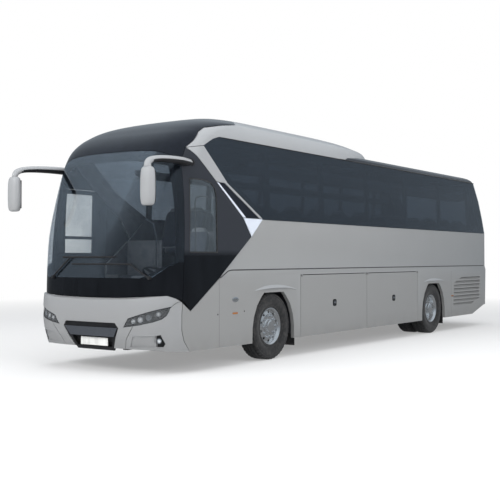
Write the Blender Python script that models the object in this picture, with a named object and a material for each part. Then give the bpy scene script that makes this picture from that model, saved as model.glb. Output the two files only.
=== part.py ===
"""Two-axle high-floor touring coach with left-hand drive, built from separate named pieces.

Lengths are metres. In the tables below y is counted rearward from the nose of the front bumper,
x points to the coach's left and z up from the road. The datum empty then moves everything so
that the middle of the coach's box stands over the origin, with its front facing -Y.
"""
import math

import bmesh
import bpy
from mathutils import Matrix, Vector

# Overall size
WIDTH = 2.55
LENGTH = 12.10
HALF = WIDTH / 2

# Clearances
TOUCH = 0.0003          # between faces that rest on each other
PANEL_GAP = 0.008       # visible joint between two body panels
FLAP_GAP = 0.010        # joint round a panel that opens
FLAP_CLEARANCE = 0.008  # between a panel that opens and the floor behind it

# Thickness of walls, panels and glass
WALL = 0.060
PANEL = 0.050
BUMPER_SHELL = 0.040
GLASS = 0.012
TRIM = 0.018
SEAL_DEPTH = 0.026
SEAL_THICK = 0.016
FLANGE = 0.020          # rim of a lamp or grille behind the panel that holds it
LENS_INSET = 0.003
GRILLE_INSET = 0.012
GRILLE_GAP = 0.002

# Heights
SKIRT_Z = 0.295
SHOULDER_LOW_Z = 1.308
SHOULDER_HIGH_Z = 1.390
BELT_Z = 2.160
GLASS_TOP_Z = 3.310
ROOF_CROWN_Z = 3.540
HOOD_CROWN_Z = 3.800
DECK_Z = 1.250
DECK_THICK = 0.050
PLATFORM_Z = 0.780
RAIL_TOP_Z = 0.360
RAIL_BOTTOM_Z = 0.300
RAIL_X = (0.36, 0.44)
BAY_FLOOR_THICK = 0.030

# Plan of the front and the rear: a nearly flat front that turns in tight corners
CORNER_DEPTH = 0.66
FRONT_FLAT_Y = 0.12     # y of the front's middle
FRONT_BOW = 0.06        # rearward sweep of the front up to the side
CORNER_POWER = 6.0      # squareness of the corners
HOOD_TAIL_DEPTH = 2.30
REAR_RADIUS = 0.25
FRONT_STEPS = 7
REAR_STEPS = 3
HOOD_TAIL_STEPS = 4
SIDE_SKIN_START_Y = 0.50
FRONT_SKIN_END_Y = 4.10
SIDE_INNER_X = 1.05     # side panels lie outside this, rear panels inside it
FRONT_ZONE_Y = (-0.30, 0.90)
LAMP_ZONE_Y = (-0.30, 0.56)

# Axles and wheels
FRONT_AXLE_Y = 2.82
REAR_AXLE_Y = 8.87
HUB_Z = 0.515
TYRE_RADIUS = 0.515
TYRE_WIDTH = 0.295
RIM_RADIUS = 0.290
BEAD_INSET = 0.035
FRONT_FACE_INSET = 0.055
REAR_FACE_INSET = 0.150
TYRE_OUTER_X = 1.235
TWIN_SPACING = 0.335
KINGPIN_INBOARD = 0.250
KINGPIN_RADIUS = 0.025
SPINDLE_RADIUS = 0.045
AXLE_EYE_RADIUS = 0.045
SPIN_PLAY = 0.0007
WHEEL_STEPS = 24
SPINDLE_STEPS = 24

# Wheel arches, as half openings at their heights
ARCH_HALF = 0.585
ARCH_TOP_Z = 1.045
ARCH_FLAT = 0.270

# Bays and doors, along the side
BAY_FRONT_Y = 3.60
BAY_SPLIT_Y = 5.88
BAY_REAR_Y = 8.08
MID_DOOR_Y = (6.98, 7.86)
MID_DOOR_TOP_Z = 2.100
FRONT_DOOR_Y = (0.76, 1.68)
FRONT_DOOR_TOP_Z = 2.350
FRONT_DOOR_PANES_Z = ((1.02, 1.46), (1.56, 2.24))
DOOR_STILE = 0.110
DOOR_GLASS_LAP = 0.070
DOOR_BOTTOM_Z = 0.330
FLAP_TOP_Z = 1.296

# Hinges of the flaps and the hatch
HINGE_INSET = 0.013
HINGE_DROP = 0.008
HINGE_PIN_RADIUS = 0.0062
HINGE_BORE_RADIUS = 0.0071
HINGE_LUG_RADIUS = 0.013
HINGE_LUG_LENGTH = 0.026
HINGE_NOTCH_RADIUS = 0.020
HINGE_STEPS = 8

# Engine hatch in the tail
HATCH_HALF = 0.78
HATCH_Z = (0.86, 1.74)
HATCH_ZONE_DEPTH = 0.40
TAIL_BUMPER_Z = 0.79
TAIL_BOTTOM_Z = 0.48
TAIL_RISE_Y = (10.84, 11.75)

# Mirrors
MIRROR_HEAD = Vector((1.286, -0.109, 2.498))
MIRROR_HEAD_HALF = Vector((0.100, 0.075, 0.245))
MIRROR_BEND = Vector((1.262, -0.120, 2.760))
MIRROR_MID = Vector((1.240, 0.286, 2.866))
MIRROR_ROOT = Vector((1.175, 0.880, 2.900))
MIRROR_ARM_WIDE = 0.062
MIRROR_ARM_HIGH = 0.030
MIRROR_ARM_TAPER = 0.35

# Wipers
WIPER_LIFT = 0.030
WIPER_STEPS = 5

# Cab
WHEEL_CENTRE = Vector((0.62, 0.86, 1.330))
STEERING_WHEEL_RADIUS = 0.225
STEERING_TILT = math.radians(30)
DRIVER_SEAT_Y = 1.34
DASH_TOP_Z = 1.240

# Passenger seats
SEAT_PITCH = 0.790
SEAT_FIRST_Y = 2.45
SEAT_ROWS = 11
SEAT_PAIR_WIDTH = 0.88
SEAT_RAIL_X = (0.42, 0.98)

Y_MID = (MIRROR_HEAD.y - MIRROR_HEAD_HALF.y + LENGTH) / 2

# Levels of the body's side and roof: height, distance in from the half width, how far it is crown
SIDE_LEVELS = (
    (SKIRT_Z, 0.0, 0.0),
    (SHOULDER_LOW_Z, 0.0, 0.0),
    (SHOULDER_HIGH_Z, 0.023, 0.0),
    (BELT_Z, 0.023, 0.0),
    (2.50, 0.030, 0.0),
    (2.90, 0.045, 0.0),
    (GLASS_TOP_Z, 0.070, 0.0),
    (GLASS_TOP_Z + 0.05, 0.085, 0.3),
    (GLASS_TOP_Z + 0.09, 0.135, 0.6),
    (GLASS_TOP_Z + 0.12, 0.225, 0.9),
    (ROOF_CROWN_Z - 0.06, 0.525, 1.0),
    (ROOF_CROWN_Z - 0.02, 0.860, 1.0),
    (ROOF_CROWN_Z, 1.150, 1.0),
)

# The tail seen from the side: height and how far it is in front of the rearmost face
TAIL_PROFILE = (
    (SKIRT_Z, 0.05), (TAIL_BUMPER_Z, 0.0), (BELT_Z, 0.015), (2.67, 0.22), (3.06, 0.42),
    (GLASS_TOP_Z, 0.60), (GLASS_TOP_Z + 0.12, 0.80), (ROOF_CROWN_Z, 1.20),
)

# Levels of the cab's front and dome: height, distance in, crown share, y of the nose, corner depth
FRONT_LEVELS = (
    (SKIRT_Z, 0.0, 0.0, 0.060, CORNER_DEPTH),
    (1.00, 0.0, 0.0, 0.060, CORNER_DEPTH),
    (1.71, 0.009, 0.0, 0.080, CORNER_DEPTH),
    (BELT_Z, 0.017, 0.0, 0.155, CORNER_DEPTH),
    (2.75, 0.035, 0.0, 0.315, CORNER_DEPTH),
    (3.00, 0.046, 0.0, 0.410, CORNER_DEPTH),
    (3.17, 0.054, 0.1, 0.520, CORNER_DEPTH),
    (GLASS_TOP_Z, 0.061, 0.2, 0.690, CORNER_DEPTH),
    (3.40, 0.073, 0.35, 0.850, CORNER_DEPTH),
    (3.48, 0.100, 0.5, 1.010, CORNER_DEPTH + 0.03),
    (3.55, 0.155, 0.7, 1.190, CORNER_DEPTH + 0.09),
    (HOOD_CROWN_Z - 0.19, 0.295, 0.85, 1.390, CORNER_DEPTH + 0.17),
    (HOOD_CROWN_Z - 0.12, 0.475, 0.95, 1.700, CORNER_DEPTH + 0.29),
    (HOOD_CROWN_Z - 0.06, 0.705, 1.0, 2.050, CORNER_DEPTH + 0.40),
    (HOOD_CROWN_Z - 0.02, 0.945, 1.0, 2.400, CORNER_DEPTH + 0.48),
    (HOOD_CROWN_Z, 1.175, 1.0, 2.700, CORNER_DEPTH + 0.54),
)

# The roof hood's tail: height and y of its rear end on the centre line
HOOD_TAIL = (
    (GLASS_TOP_Z, 8.05), (3.40, 8.00), (3.48, 7.93), (3.55, 7.84), (HOOD_CROWN_Z - 0.19, 7.74),
    (HOOD_CROWN_Z - 0.12, 7.58), (HOOD_CROWN_Z - 0.06, 7.00), (HOOD_CROWN_Z - 0.02, 6.30),
    (HOOD_CROWN_Z, 5.60),
)

# The bumper seen from the side: height and y of its centre line
BUMPER_PROFILE = (
    (SKIRT_Z, 0.120), (0.50, 0.040), (0.72, 0.0), (0.98, 0.006), (1.12, 0.030),
)

# Side-view outlines, as (y, z)
BUMPER_TOP = ((-0.20, 1.000), (0.12, 1.000), (0.138, 1.011), (0.158, 1.026), (0.216, 1.050), (0.277, 1.062),
              (0.39, 1.070), (0.50, 1.030), (0.60, 0.980))
BUMPER_END = ((0.605, 0.960), (0.592, 0.800), (0.592, 0.600), (0.640, 0.450), (0.760, SKIRT_Z))
BUMPER_FOOT = ((0.46, 0.312), (0.30, 0.335), (-0.20, 0.335))
PILLAR_LINE = ((0.62, 1.0), (0.72, 2.89))
WINDSCREEN_TOP = ((0.56, 3.100), (-0.20, 3.100))
HOOP_OUTER = ((0.83, 3.100), (2.03, 2.170))
HOOP_INNER = ((1.13, 3.150), (1.66, 2.660), (2.54, BELT_Z + 0.01))
TRIM_TIP = (2.235, 1.890)
BLACK_EDGE = ((1.425, 1.285), (0.775, 0.850))
HOOD_EDGE = ((1.25, 3.450), (1.40, 3.500), (2.00, 3.560), (2.40, 3.680), (2.60, HOOD_CROWN_Z + 0.05))
GLASS_CORNER = ((1.35, 3.265), (1.50, GLASS_TOP_Z))
LOUVRE_OUTLINE = ((10.49, 1.21), (11.55, 1.20), (11.49, 0.63), (10.96, 0.50), (9.89, 0.50), (9.94, 1.05))
SLAT_COUNT = 8
LOUVRE_REACH_Y = (9.70, 11.70)

# Front-view outlines of one side, as (x, z)
LAMP_OUTLINE = ((0.626, 0.642), (0.705, 0.758), (1.212, 0.915), (1.206, 0.862), (1.188, 0.804),
                (1.148, 0.758), (1.053, 0.719), (0.875, 0.679))
FOG_OUTLINE = ((1.055, 0.530), (1.127, 0.549), (1.155, 0.425), (1.125, 0.380), (1.040, 0.384))
SCOOP_OUTLINE = ((0.755, 0.520), (1.055, 0.530), (1.040, 0.384), (0.675, 0.376))
SCOOP_DEPTH = 0.012
FLAP_SEAM = ((0.545, SKIRT_Z - 0.05), (0.588, 0.363), (0.634, 0.471), (0.766, 0.638), (0.800, 0.715),
             (1.200, 0.880), (1.258, 0.982))
CENTRE_GRILLE_OUTLINE = ((-0.474, 0.693), (0.474, 0.693), (0.530, 0.623), (0.352, 0.300), (-0.352, 0.300),
                         (-0.530, 0.623))
PLATE_RECESS = ((-0.400, 0.492), (0.400, 0.492), (0.330, 0.350), (-0.330, 0.350))

SIDES = {"left": 1, "right": -1}

# Colours, roughness and metallic value
FINISHES = {
    "silver_paint": ((0.33, 0.33, 0.325), 0.38, 0.55),
    "black_gloss": ((0.012, 0.013, 0.016), 0.08, 0.0),
    "tinted_glass": ((0.03, 0.04, 0.05), 0.05, 0.0),
    "clear_glass": ((0.10, 0.12, 0.14), 0.04, 0.0),
    "black_plastic": ((0.02, 0.02, 0.021), 0.55, 0.0),
    "underframe_black": ((0.02, 0.02, 0.02), 0.65, 0.2),
    "lamp_lens": ((0.25, 0.26, 0.28), 0.10, 0.2),
    "red_lens": ((0.30, 0.01, 0.01), 0.15, 0.0),
    "tyre_rubber": ((0.022, 0.022, 0.023), 0.80, 0.0),
    "polished_rim": ((0.72, 0.73, 0.75), 0.20, 1.0),
    "cast_metal": ((0.12, 0.12, 0.125), 0.50, 0.8),
    "floor_cover": ((0.06, 0.06, 0.07), 0.80, 0.0),
    "seat_cloth": ((0.05, 0.06, 0.09), 0.90, 0.0),
}


# Scene and materials

def clear_scene():
    for old in list(bpy.data.objects):
        bpy.data.objects.remove(old, do_unlink=True)


def finish_material(name):
    found = bpy.data.materials.get(name)
    if found:
        return found
    colour, roughness, metallic = FINISHES[name]
    made = bpy.data.materials.new(name)
    made.use_nodes = True
    shader = made.node_tree.nodes["Principled BSDF"]
    shader.inputs["Base Color"].default_value = (*colour, 1.0)
    shader.inputs["Roughness"].default_value = roughness
    shader.inputs["Metallic"].default_value = metallic
    made.diffuse_color = (*colour, 1.0)
    return made


# Blanks: closed meshes that are cut and joined

def new_blank(mesh):
    blank = bpy.data.objects.new("blank", mesh)
    bpy.context.scene.collection.objects.link(blank)
    return blank


def blank_from_bmesh(shape):
    bmesh.ops.recalc_face_normals(shape, faces=shape.faces)
    mesh = bpy.data.meshes.new("blank")
    shape.to_mesh(mesh)
    shape.free()
    return new_blank(mesh)


def copy_blank(source):
    return new_blank(source.data.copy())


def drop_blank(blank):
    mesh = blank.data
    bpy.data.objects.remove(blank, do_unlink=True)
    if mesh.users == 0:
        bpy.data.meshes.remove(mesh)


def carve(piece, tool, operation, keep_tool=False):
    """Cuts, joins or crops one blank with another and makes the result its mesh."""
    step = piece.modifiers.new("carve", "BOOLEAN")
    step.operation = operation
    step.solver = "EXACT"
    step.object = tool
    bpy.context.view_layer.update()
    shaped = bpy.data.meshes.new_from_object(piece.evaluated_get(bpy.context.evaluated_depsgraph_get()))
    piece.modifiers.clear()
    piece.data = shaped
    if not keep_tool:
        drop_blank(tool)
    return piece


def cut(piece, *tools):
    for tool in tools:
        carve(piece, tool, "DIFFERENCE")
    return piece


def crop(piece, tool):
    return carve(piece, tool, "INTERSECT")


def fuse(first, *others):
    for other in others:
        carve(first, other, "UNION")
    return first


AXIS_ORDER = {"x": (2, 0, 1), "y": (0, 2, 1), "z": (0, 1, 2)}


def axis_point(axis, first, second, along):
    """Outline (first, second) in the plane across the axis: (y, z), (x, z) or (x, y)."""
    values = (first, second, along)
    order = AXIS_ORDER[axis]
    return Vector((values[order[0]], values[order[1]], values[order[2]]))


def prism(axis, outline, low, high):
    shape = bmesh.new()
    floor = [shape.verts.new(axis_point(axis, a, b, low)) for a, b in outline]
    face = shape.faces.new(floor)
    grown = bmesh.ops.extrude_face_region(shape, geom=[face])
    moved = [item for item in grown["geom"] if isinstance(item, bmesh.types.BMVert)]
    bmesh.ops.translate(shape, verts=moved, vec=axis_point(axis, 0.0, 0.0, high - low))
    return blank_from_bmesh(shape)


def box(x_range, y_range, z_range):
    corners = ((x_range[0], y_range[0]), (x_range[1], y_range[0]), (x_range[1], y_range[1]),
               (x_range[0], y_range[1]))
    return prism("z", corners, z_range[0], z_range[1])


def circle_points(radius, steps, centre=(0.0, 0.0), start=0.0):
    return [(centre[0] + radius * math.cos(start + math.tau * step / steps),
             centre[1] + radius * math.sin(start + math.tau * step / steps)) for step in range(steps)]


def rod(axis, centre, radius, low, high, steps):
    return prism(axis, circle_points(radius, steps, centre, math.pi / steps), low, high)


def turned(profile, steps, closed):
    """Spins a profile of (radius, along) about the x axis."""
    shape = bmesh.new()
    points = [shape.verts.new((along, 0.0, radius)) for radius, along in profile]
    pairs = list(zip(points, points[1:]))
    if closed:
        pairs.append((points[-1], points[0]))
    edges = [shape.edges.new(pair) for pair in pairs]
    bmesh.ops.spin(shape, geom=points + edges, cent=(0, 0, 0), axis=(1, 0, 0), angle=math.tau,
                   steps=steps, use_merge=True, use_duplicate=False)
    bmesh.ops.remove_doubles(shape, verts=shape.verts, dist=1e-6)
    return blank_from_bmesh(shape)


def moved(blank, offset, flip_x=False):
    if flip_x:
        blank.data.transform(Matrix.Scale(-1.0, 4, Vector((1, 0, 0))))
        blank.data.flip_normals()
    blank.data.transform(Matrix.Translation(Vector(offset)))
    return blank


def loft(rings):
    shape = bmesh.new()
    rows = [[shape.verts.new(point) for point in ring] for ring in rings]
    count = len(rows[0])
    for lower, upper in zip(rows, rows[1:]):
        for index in range(count):
            after = (index + 1) % count
            shape.faces.new((lower[index], lower[after], upper[after], upper[index]))
    shape.faces.new(rows[0])
    shape.faces.new(rows[-1])
    return blank_from_bmesh(shape)


def sweep(path, half_sizes, steps):
    """A tube along a path, with an oval section (across, up) at each point."""
    rings = []
    for index, point in enumerate(path):
        before = path[max(index - 1, 0)]
        after = path[min(index + 1, len(path) - 1)]
        along = (after - before).normalized()
        across = along.cross(Vector((0, 0, 1)))
        across = across.normalized() if across.length > 1e-3 else Vector((1, 0, 0))
        up = across.cross(along)
        wide, tall = half_sizes[index]
        rings.append([point + across * wide * math.cos(math.tau * step / steps)
                      + up * tall * math.sin(math.tau * step / steps) for step in range(steps)])
    return loft(rings)


def smooth_path(points, steps):
    """A soft curve through a few points."""
    extended = [points[0] * 2 - points[1], *points, points[-1] * 2 - points[-2]]
    path = []
    for index in range(1, len(extended) - 2):
        p0, p1, p2, p3 = extended[index - 1:index + 3]
        for step in range(steps):
            t = step / steps
            path.append(0.5 * (2 * p1 + (p2 - p0) * t + (2 * p0 - 5 * p1 + 4 * p2 - p3) * t * t
                               + (3 * p1 - p0 - 3 * p2 + p3) * t ** 3))
    path.append(points[-1].copy())
    return path


# Outlines

def offset_outline(outline, distance):
    """The outline moved outward by a distance, or inward where it is negative."""
    area = sum(a[0] * b[1] - b[0] * a[1] for a, b in zip(outline, outline[1:] + outline[:1]))
    turn = 1.0 if area > 0 else -1.0
    count = len(outline)
    result = []
    for index in range(count):
        before = Vector(outline[index - 1])
        here = Vector(outline[index])
        after = Vector(outline[(index + 1) % count])
        first = (here - before).normalized()
        second = (after - here).normalized()
        first_out = Vector((first.y, -first.x)) * turn
        second_out = Vector((second.y, -second.x)) * turn
        middle = (first_out + second_out).normalized()
        result.append(tuple(here + middle * distance / max(middle.dot(first_out), 0.35)))
    return result


def table_value(table, z):
    if z <= table[0][0]:
        return table[0][1]
    for (z0, v0), (z1, v1) in zip(table, table[1:]):
        if z <= z1:
            return v0 + (v1 - v0) * (z - z0) / (z1 - z0)
    return table[-1][1]


# Body surfaces, as closed solids moved inward by an inset

def front_sweep(share, depth):
    """How far the front lies behind its table's nose at a share of the half width."""
    corner = depth - FRONT_FLAT_Y - FRONT_BOW
    turn = 1 - math.sqrt(max(1 - share ** CORNER_POWER, 0.0))
    return FRONT_FLAT_Y + FRONT_BOW * share ** 2 + corner * turn


def front_arc(half, y_nose, depth):
    """Points from the nose round the corner to the side, denser where the corner turns."""
    shares = [math.sin(math.radians(90.0 * step / FRONT_STEPS)) ** (2 / CORNER_POWER)
              for step in range(FRONT_STEPS + 1)]
    shares.insert(1, shares[1] / 2)
    return [(half * share, y_nose + front_sweep(share, depth)) for share in shares]


def tail_arc(half, depth, steps):
    """Points from the middle of a rounded tail to its side, with y measured forward from the tail."""
    points = []
    for step in range(steps + 1):
        angle = math.radians(90.0 * step / steps)
        points.append((half * math.sin(angle) ** (2 / 3), depth * (1 - math.cos(angle))))
    return points


def ring_from_half(left, z):
    """Closes a left half, given from the front centre to the rear centre, with its mirror image."""
    right = [(-x, y) for x, y in reversed(left) if x > 1e-6]
    return [Vector((x, y, z)) for x, y in [*left, *right]]


def front_solid(inset):
    rings = []
    for z, side, crown, nose, depth in FRONT_LEVELS:
        wall = inset * (1 - crown)
        half = HALF - side - wall
        left = front_arc(half, nose + wall, depth)
        left.append((half, FRONT_SKIN_END_Y))
        rings.append(ring_from_half(left, z - inset * crown))
    return loft(rings)


def side_solid(inset):
    rings = []
    for z, side, crown in SIDE_LEVELS:
        wall = inset * (1 - crown)
        half = HALF - side - wall
        radius = min(REAR_RADIUS - wall, half * 0.8)
        rear = LENGTH - table_value(TAIL_PROFILE, z) - wall
        left = [(half, SIDE_SKIN_START_Y)]
        for step in range(REAR_STEPS + 1):
            angle = math.radians(90.0 * step / REAR_STEPS)
            left.append((half - radius + radius * math.cos(angle), rear - radius + radius * math.sin(angle)))
        rings.append(ring_from_half(left, z - inset * crown))
    return loft(rings)


def hood_solid(inset):
    rings = []
    for z, side, crown, nose, depth in FRONT_LEVELS:
        if z < GLASS_TOP_Z - 1e-6:
            continue
        wall = inset * (1 - crown)
        half = HALF - side - wall
        tail_y = table_value(HOOD_TAIL, z) - wall
        left = front_arc(half, nose + wall, depth)
        tail = tail_arc(half, HOOD_TAIL_DEPTH, HOOD_TAIL_STEPS)
        left.extend((x, tail_y - y) for x, y in reversed(tail))
        rings.append(ring_from_half(left, z - inset * crown))
    return loft(rings)


def bumper_solid(inset):
    rings = []
    for z, nose in BUMPER_PROFILE:
        half = HALF - inset
        left = front_arc(half, nose + inset, CORNER_DEPTH)
        left.append((half, FRONT_SKIN_END_Y))
        rings.append(ring_from_half(left, z))
    return loft(rings)


def layer(solid, outer, inner):
    """What lies between two insets of the same body surface."""
    return cut(solid(outer), inner_core(solid, inner))


def inner_core(solid, inset):
    """An inset body surface, run past the lowest level so that a layer is open below."""
    core = solid(inset)
    lowest = min(vertex.co.z for vertex in core.data.vertices)
    for vertex in core.data.vertices:
        if vertex.co.z < lowest + 1e-6:
            vertex.co.z -= 0.05
        if solid is side_solid and vertex.co.y < SIDE_SKIN_START_Y + 1e-6:
            vertex.co.y -= 0.05
        if solid in (front_solid, bumper_solid) and vertex.co.y > FRONT_SKIN_END_Y - 1e-6:
            vertex.co.y += 0.05
    return core


def side_zone(outline, side, inner=SIDE_INNER_X):
    """A prism across one side of the coach, from a side-view outline."""
    reach = HALF + 0.2
    low, high = sorted((side * inner, side * reach))
    return prism("x", outline, low, high)


def across_zone(outline):
    return prism("x", outline, -HALF - 0.2, HALF + 0.2)


# Datum and finished pieces

class Coach:
    """Keeps the datum and the finished pieces."""

    def __init__(self):
        self.datum = bpy.data.objects.new("coach_datum", None)
        self.datum.location = (0.0, -Y_MID, 0.0)
        bpy.context.scene.collection.objects.link(self.datum)
        self.kept = []

    def keep(self, name, blank, finish, pivot=(0.0, 0.0, 0.0), sharp=35.0):
        """Names a blank as a finished piece, with its origin on its pivot."""
        pivot = Vector(pivot)
        blank.data.transform(Matrix.Translation(-pivot))
        blank.name = name
        blank.data.name = name
        blank.data.materials.clear()
        blank.data.materials.append(finish_material(finish))
        blank.data.shade_smooth()
        blank.data.set_sharp_from_angle(angle=math.radians(sharp))
        blank.parent = self.datum
        blank.location = pivot
        self.kept.append(blank)
        return blank

    def remove_leftovers(self):
        for leftover in list(bpy.data.objects):
            if leftover is not self.datum and leftover not in self.kept:
                bpy.data.objects.remove(leftover, do_unlink=True)


# Outlines shared by neighbouring panels

def arch_outline(centre_y, margin=0.0):
    """Wheel opening in the side, tight over the tyre with a flat top."""
    half = ARCH_HALF + margin
    scale = half / ARCH_HALF
    rise = ARCH_TOP_Z - HUB_Z
    shoulder = ((half, SKIRT_Z - 0.1), (half * 0.985, HUB_Z), (half * 0.925, HUB_Z + rise * 0.32),
                (half * 0.785, HUB_Z + rise * 0.64), (half * 0.590, HUB_Z + rise * 0.88),
                (ARCH_FLAT * scale, ARCH_TOP_Z + margin))
    rear = [(centre_y + y, z) for y, z in shoulder]
    front = [(centre_y - y, z) for y, z in reversed(shoulder)]
    return [*rear, *front]


def flap_outline(y_low, y_high):
    return [(y_low, SKIRT_Z), (y_high, SKIRT_Z), (y_high, FLAP_TOP_Z), (y_low, FLAP_TOP_Z)]


def wall_outline():
    """The side wall with the frame behind the glass, left of the shared edges."""
    return [*reversed(BUMPER_END), (0.612, 0.962), *reversed(BLACK_EDGE), TRIM_TIP,
            *reversed(HOOP_INNER), *GLASS_CORNER, (LENGTH + 0.2, GLASS_TOP_Z), (LENGTH + 0.2, SKIRT_Z - 0.02)]


def glass_zone_outline():
    return [(HOOP_INNER[2][0], BELT_Z), *reversed(HOOP_INNER), *GLASS_CORNER,
            (LENGTH + 0.2, GLASS_TOP_Z), (LENGTH + 0.2, BELT_Z)]


def windscreen_outline():
    return [*BUMPER_TOP[:-1], PILLAR_LINE[0], PILLAR_LINE[1], *WINDSCREEN_TOP]


def corner_outline():
    """The black panel beside the driver, or round the front door."""
    return [PILLAR_LINE[0], *reversed(BLACK_EDGE), TRIM_TIP, HOOP_OUTER[1], HOOP_OUTER[0], PILLAR_LINE[1]]


def dome_outline():
    return [*reversed(WINDSCREEN_TOP), PILLAR_LINE[1], HOOP_OUTER[0], *HOOD_EDGE, (-0.2, HOOD_CROWN_Z + 0.05)]


def hood_outline():
    return [HOOP_OUTER[0], HOOP_INNER[0], *GLASS_CORNER, (10.0, GLASS_TOP_Z), (10.0, HOOD_CROWN_Z + 0.05),
            *reversed(HOOD_EDGE)]


def hoop_outline():
    return [HOOP_OUTER[0], HOOP_OUTER[1], TRIM_TIP, HOOP_INNER[2], HOOP_INNER[1], HOOP_INNER[0]]


def hoop_strap_outline(half=0.040, start=0.12):
    """A strap behind the hoop's inner edge, which ties the hoop's carrier to the window frame."""
    top = Vector(HOOP_INNER[0]).lerp(Vector(HOOP_INNER[1]), start)
    line = [top, Vector(HOOP_INNER[1]), Vector(HOOP_INNER[2])]
    shift = Vector((half, half))
    return [tuple(point + shift) for point in line] + [tuple(point - shift) for point in reversed(line)]


def driver_window_outline():
    return [(0.775, 1.62), (1.38, 1.62), (1.38, 2.30), (1.20, 2.45), (0.800, 2.45)]


def door_outline(y_range, top_z):
    return [(y_range[0], DOOR_BOTTOM_Z), (y_range[1], DOOR_BOTTOM_Z), (y_range[1], top_z), (y_range[0], top_z)]


# Hinges with a lug on the fixed side and a pin on the flap

def hinge_parts(axis, centre, start, direction):
    """Lug with a bore, pin and notch at one end of a flap. Direction is +1 or -1 into the flap."""
    stop = start + direction * HINGE_LUG_LENGTH
    low, high = sorted((start, stop))
    lug = rod(axis, centre, HINGE_LUG_RADIUS, low, high, HINGE_STEPS)
    neck_half = HINGE_LUG_RADIUS * 0.75
    neck = prism(axis, [(centre[0] - neck_half, centre[1]), (centre[0] + neck_half, centre[1]),
                        (centre[0] + neck_half, centre[1] + 0.030), (centre[0] - neck_half, centre[1] + 0.030)],
                 low, high)
    fuse(lug, neck)
    cut(lug, rod(axis, centre, HINGE_BORE_RADIUS, low - 0.01, high + 0.01, HINGE_STEPS))
    pin_low, pin_high = sorted((start + direction * 0.004, stop + direction * 0.012))
    pin = rod(axis, centre, HINGE_PIN_RADIUS, pin_low, pin_high, HINGE_STEPS)
    notch_low, notch_high = sorted((start - direction * 0.02, stop + direction * 0.002))
    notch = rod(axis, centre, HINGE_NOTCH_RADIUS, notch_low, notch_high, 12)
    above = prism(axis, [(centre[0] - 0.1, centre[1]), (centre[0] + 0.1, centre[1]),
                         (centre[0] + 0.1, centre[1] + 0.1), (centre[0] - 0.1, centre[1] + 0.1)],
                  notch_low, notch_high)
    fuse(notch, above)
    return lug, pin, notch


def bay_end_y(side):
    """Rear end of the luggage bays, which is short of the middle door on the right."""
    return BAY_REAR_Y if side > 0 else MID_DOOR_Y[0] - 0.10


def side_hinge_centre(side):
    return (side * (HALF - HINGE_INSET), FLAP_TOP_Z - HINGE_DROP)


def make_flap(coach, name, side, y_low, y_high, wall):
    """A luggage bay flap hung from two lugs under the shoulder, opening outward and up."""
    outline = offset_outline(flap_outline(y_low, y_high), -FLAP_GAP / 2)
    outline = [(y, SKIRT_Z if z < 1.0 else FLAP_TOP_Z) for y, z in outline]
    flap = crop(layer(side_solid, 0.0, WALL), side_zone(outline, side))
    centre = side_hinge_centre(side)
    lugs = []
    for end, direction in ((outline[0][0], 1), (outline[1][0], -1)):
        lug, pin, notch = hinge_parts("y", centre, end + direction * 0.03, direction)
        cut(flap, notch)
        fuse(flap, pin)
        lugs.append(lug)
    fuse(wall, *lugs)
    coach.keep(name, flap, "silver_paint", (centre[0], (y_low + y_high) / 2, centre[1]))


# Body sides

def window_openings(side):
    """Openings in the frame behind the side glass."""
    pillars = (2.72, 4.36, 6.00, 7.64, 9.28, 10.92)
    openings = []
    for index, start in enumerate(pillars[:-1]):
        low = start + 0.05
        high = pillars[index + 1] - 0.05
        openings.append(side_zone([(low, BELT_Z + 0.07), (high, BELT_Z + 0.07), (high, GLASS_TOP_Z - 0.12),
                                   (low, GLASS_TOP_Z - 0.12)], side))
    openings.append(side_zone([(1.86, 2.64), (2.66, BELT_Z + 0.07), (2.66, GLASS_TOP_Z - 0.12),
                               (1.40, GLASS_TOP_Z - 0.12), (1.34, 3.08)], side))
    openings.append(side_zone([(10.99, BELT_Z + 0.07), (11.60, BELT_Z + 0.07), (11.18, GLASS_TOP_Z - 0.12),
                               (10.99, GLASS_TOP_Z - 0.12)], side))
    return openings


def louvre_openings(side):
    """Slots of the radiator grille, each tilted like the slats between them."""
    low_z = min(z for y, z in LOUVRE_OUTLINE) + 0.03
    high_z = max(z for y, z in LOUVRE_OUTLINE) - 0.03
    pitch = (high_z - low_z) / SLAT_COUNT
    field = side_zone(offset_outline(list(LOUVRE_OUTLINE), -0.03), side)
    bars = []
    outer_x = side * (HALF + 0.02)
    inner_x = side * (HALF - WALL - 0.02)
    slot = pitch / 2
    for index in range(SLAT_COUNT):
        z = low_z + pitch * index
        bars.append(prism("y", [(outer_x, z), (outer_x, z + slot), (inner_x, z + 2 * slot), (inner_x, z + slot)],
                          *LOUVRE_REACH_Y))
    return crop(fuse(*bars), field)


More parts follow.
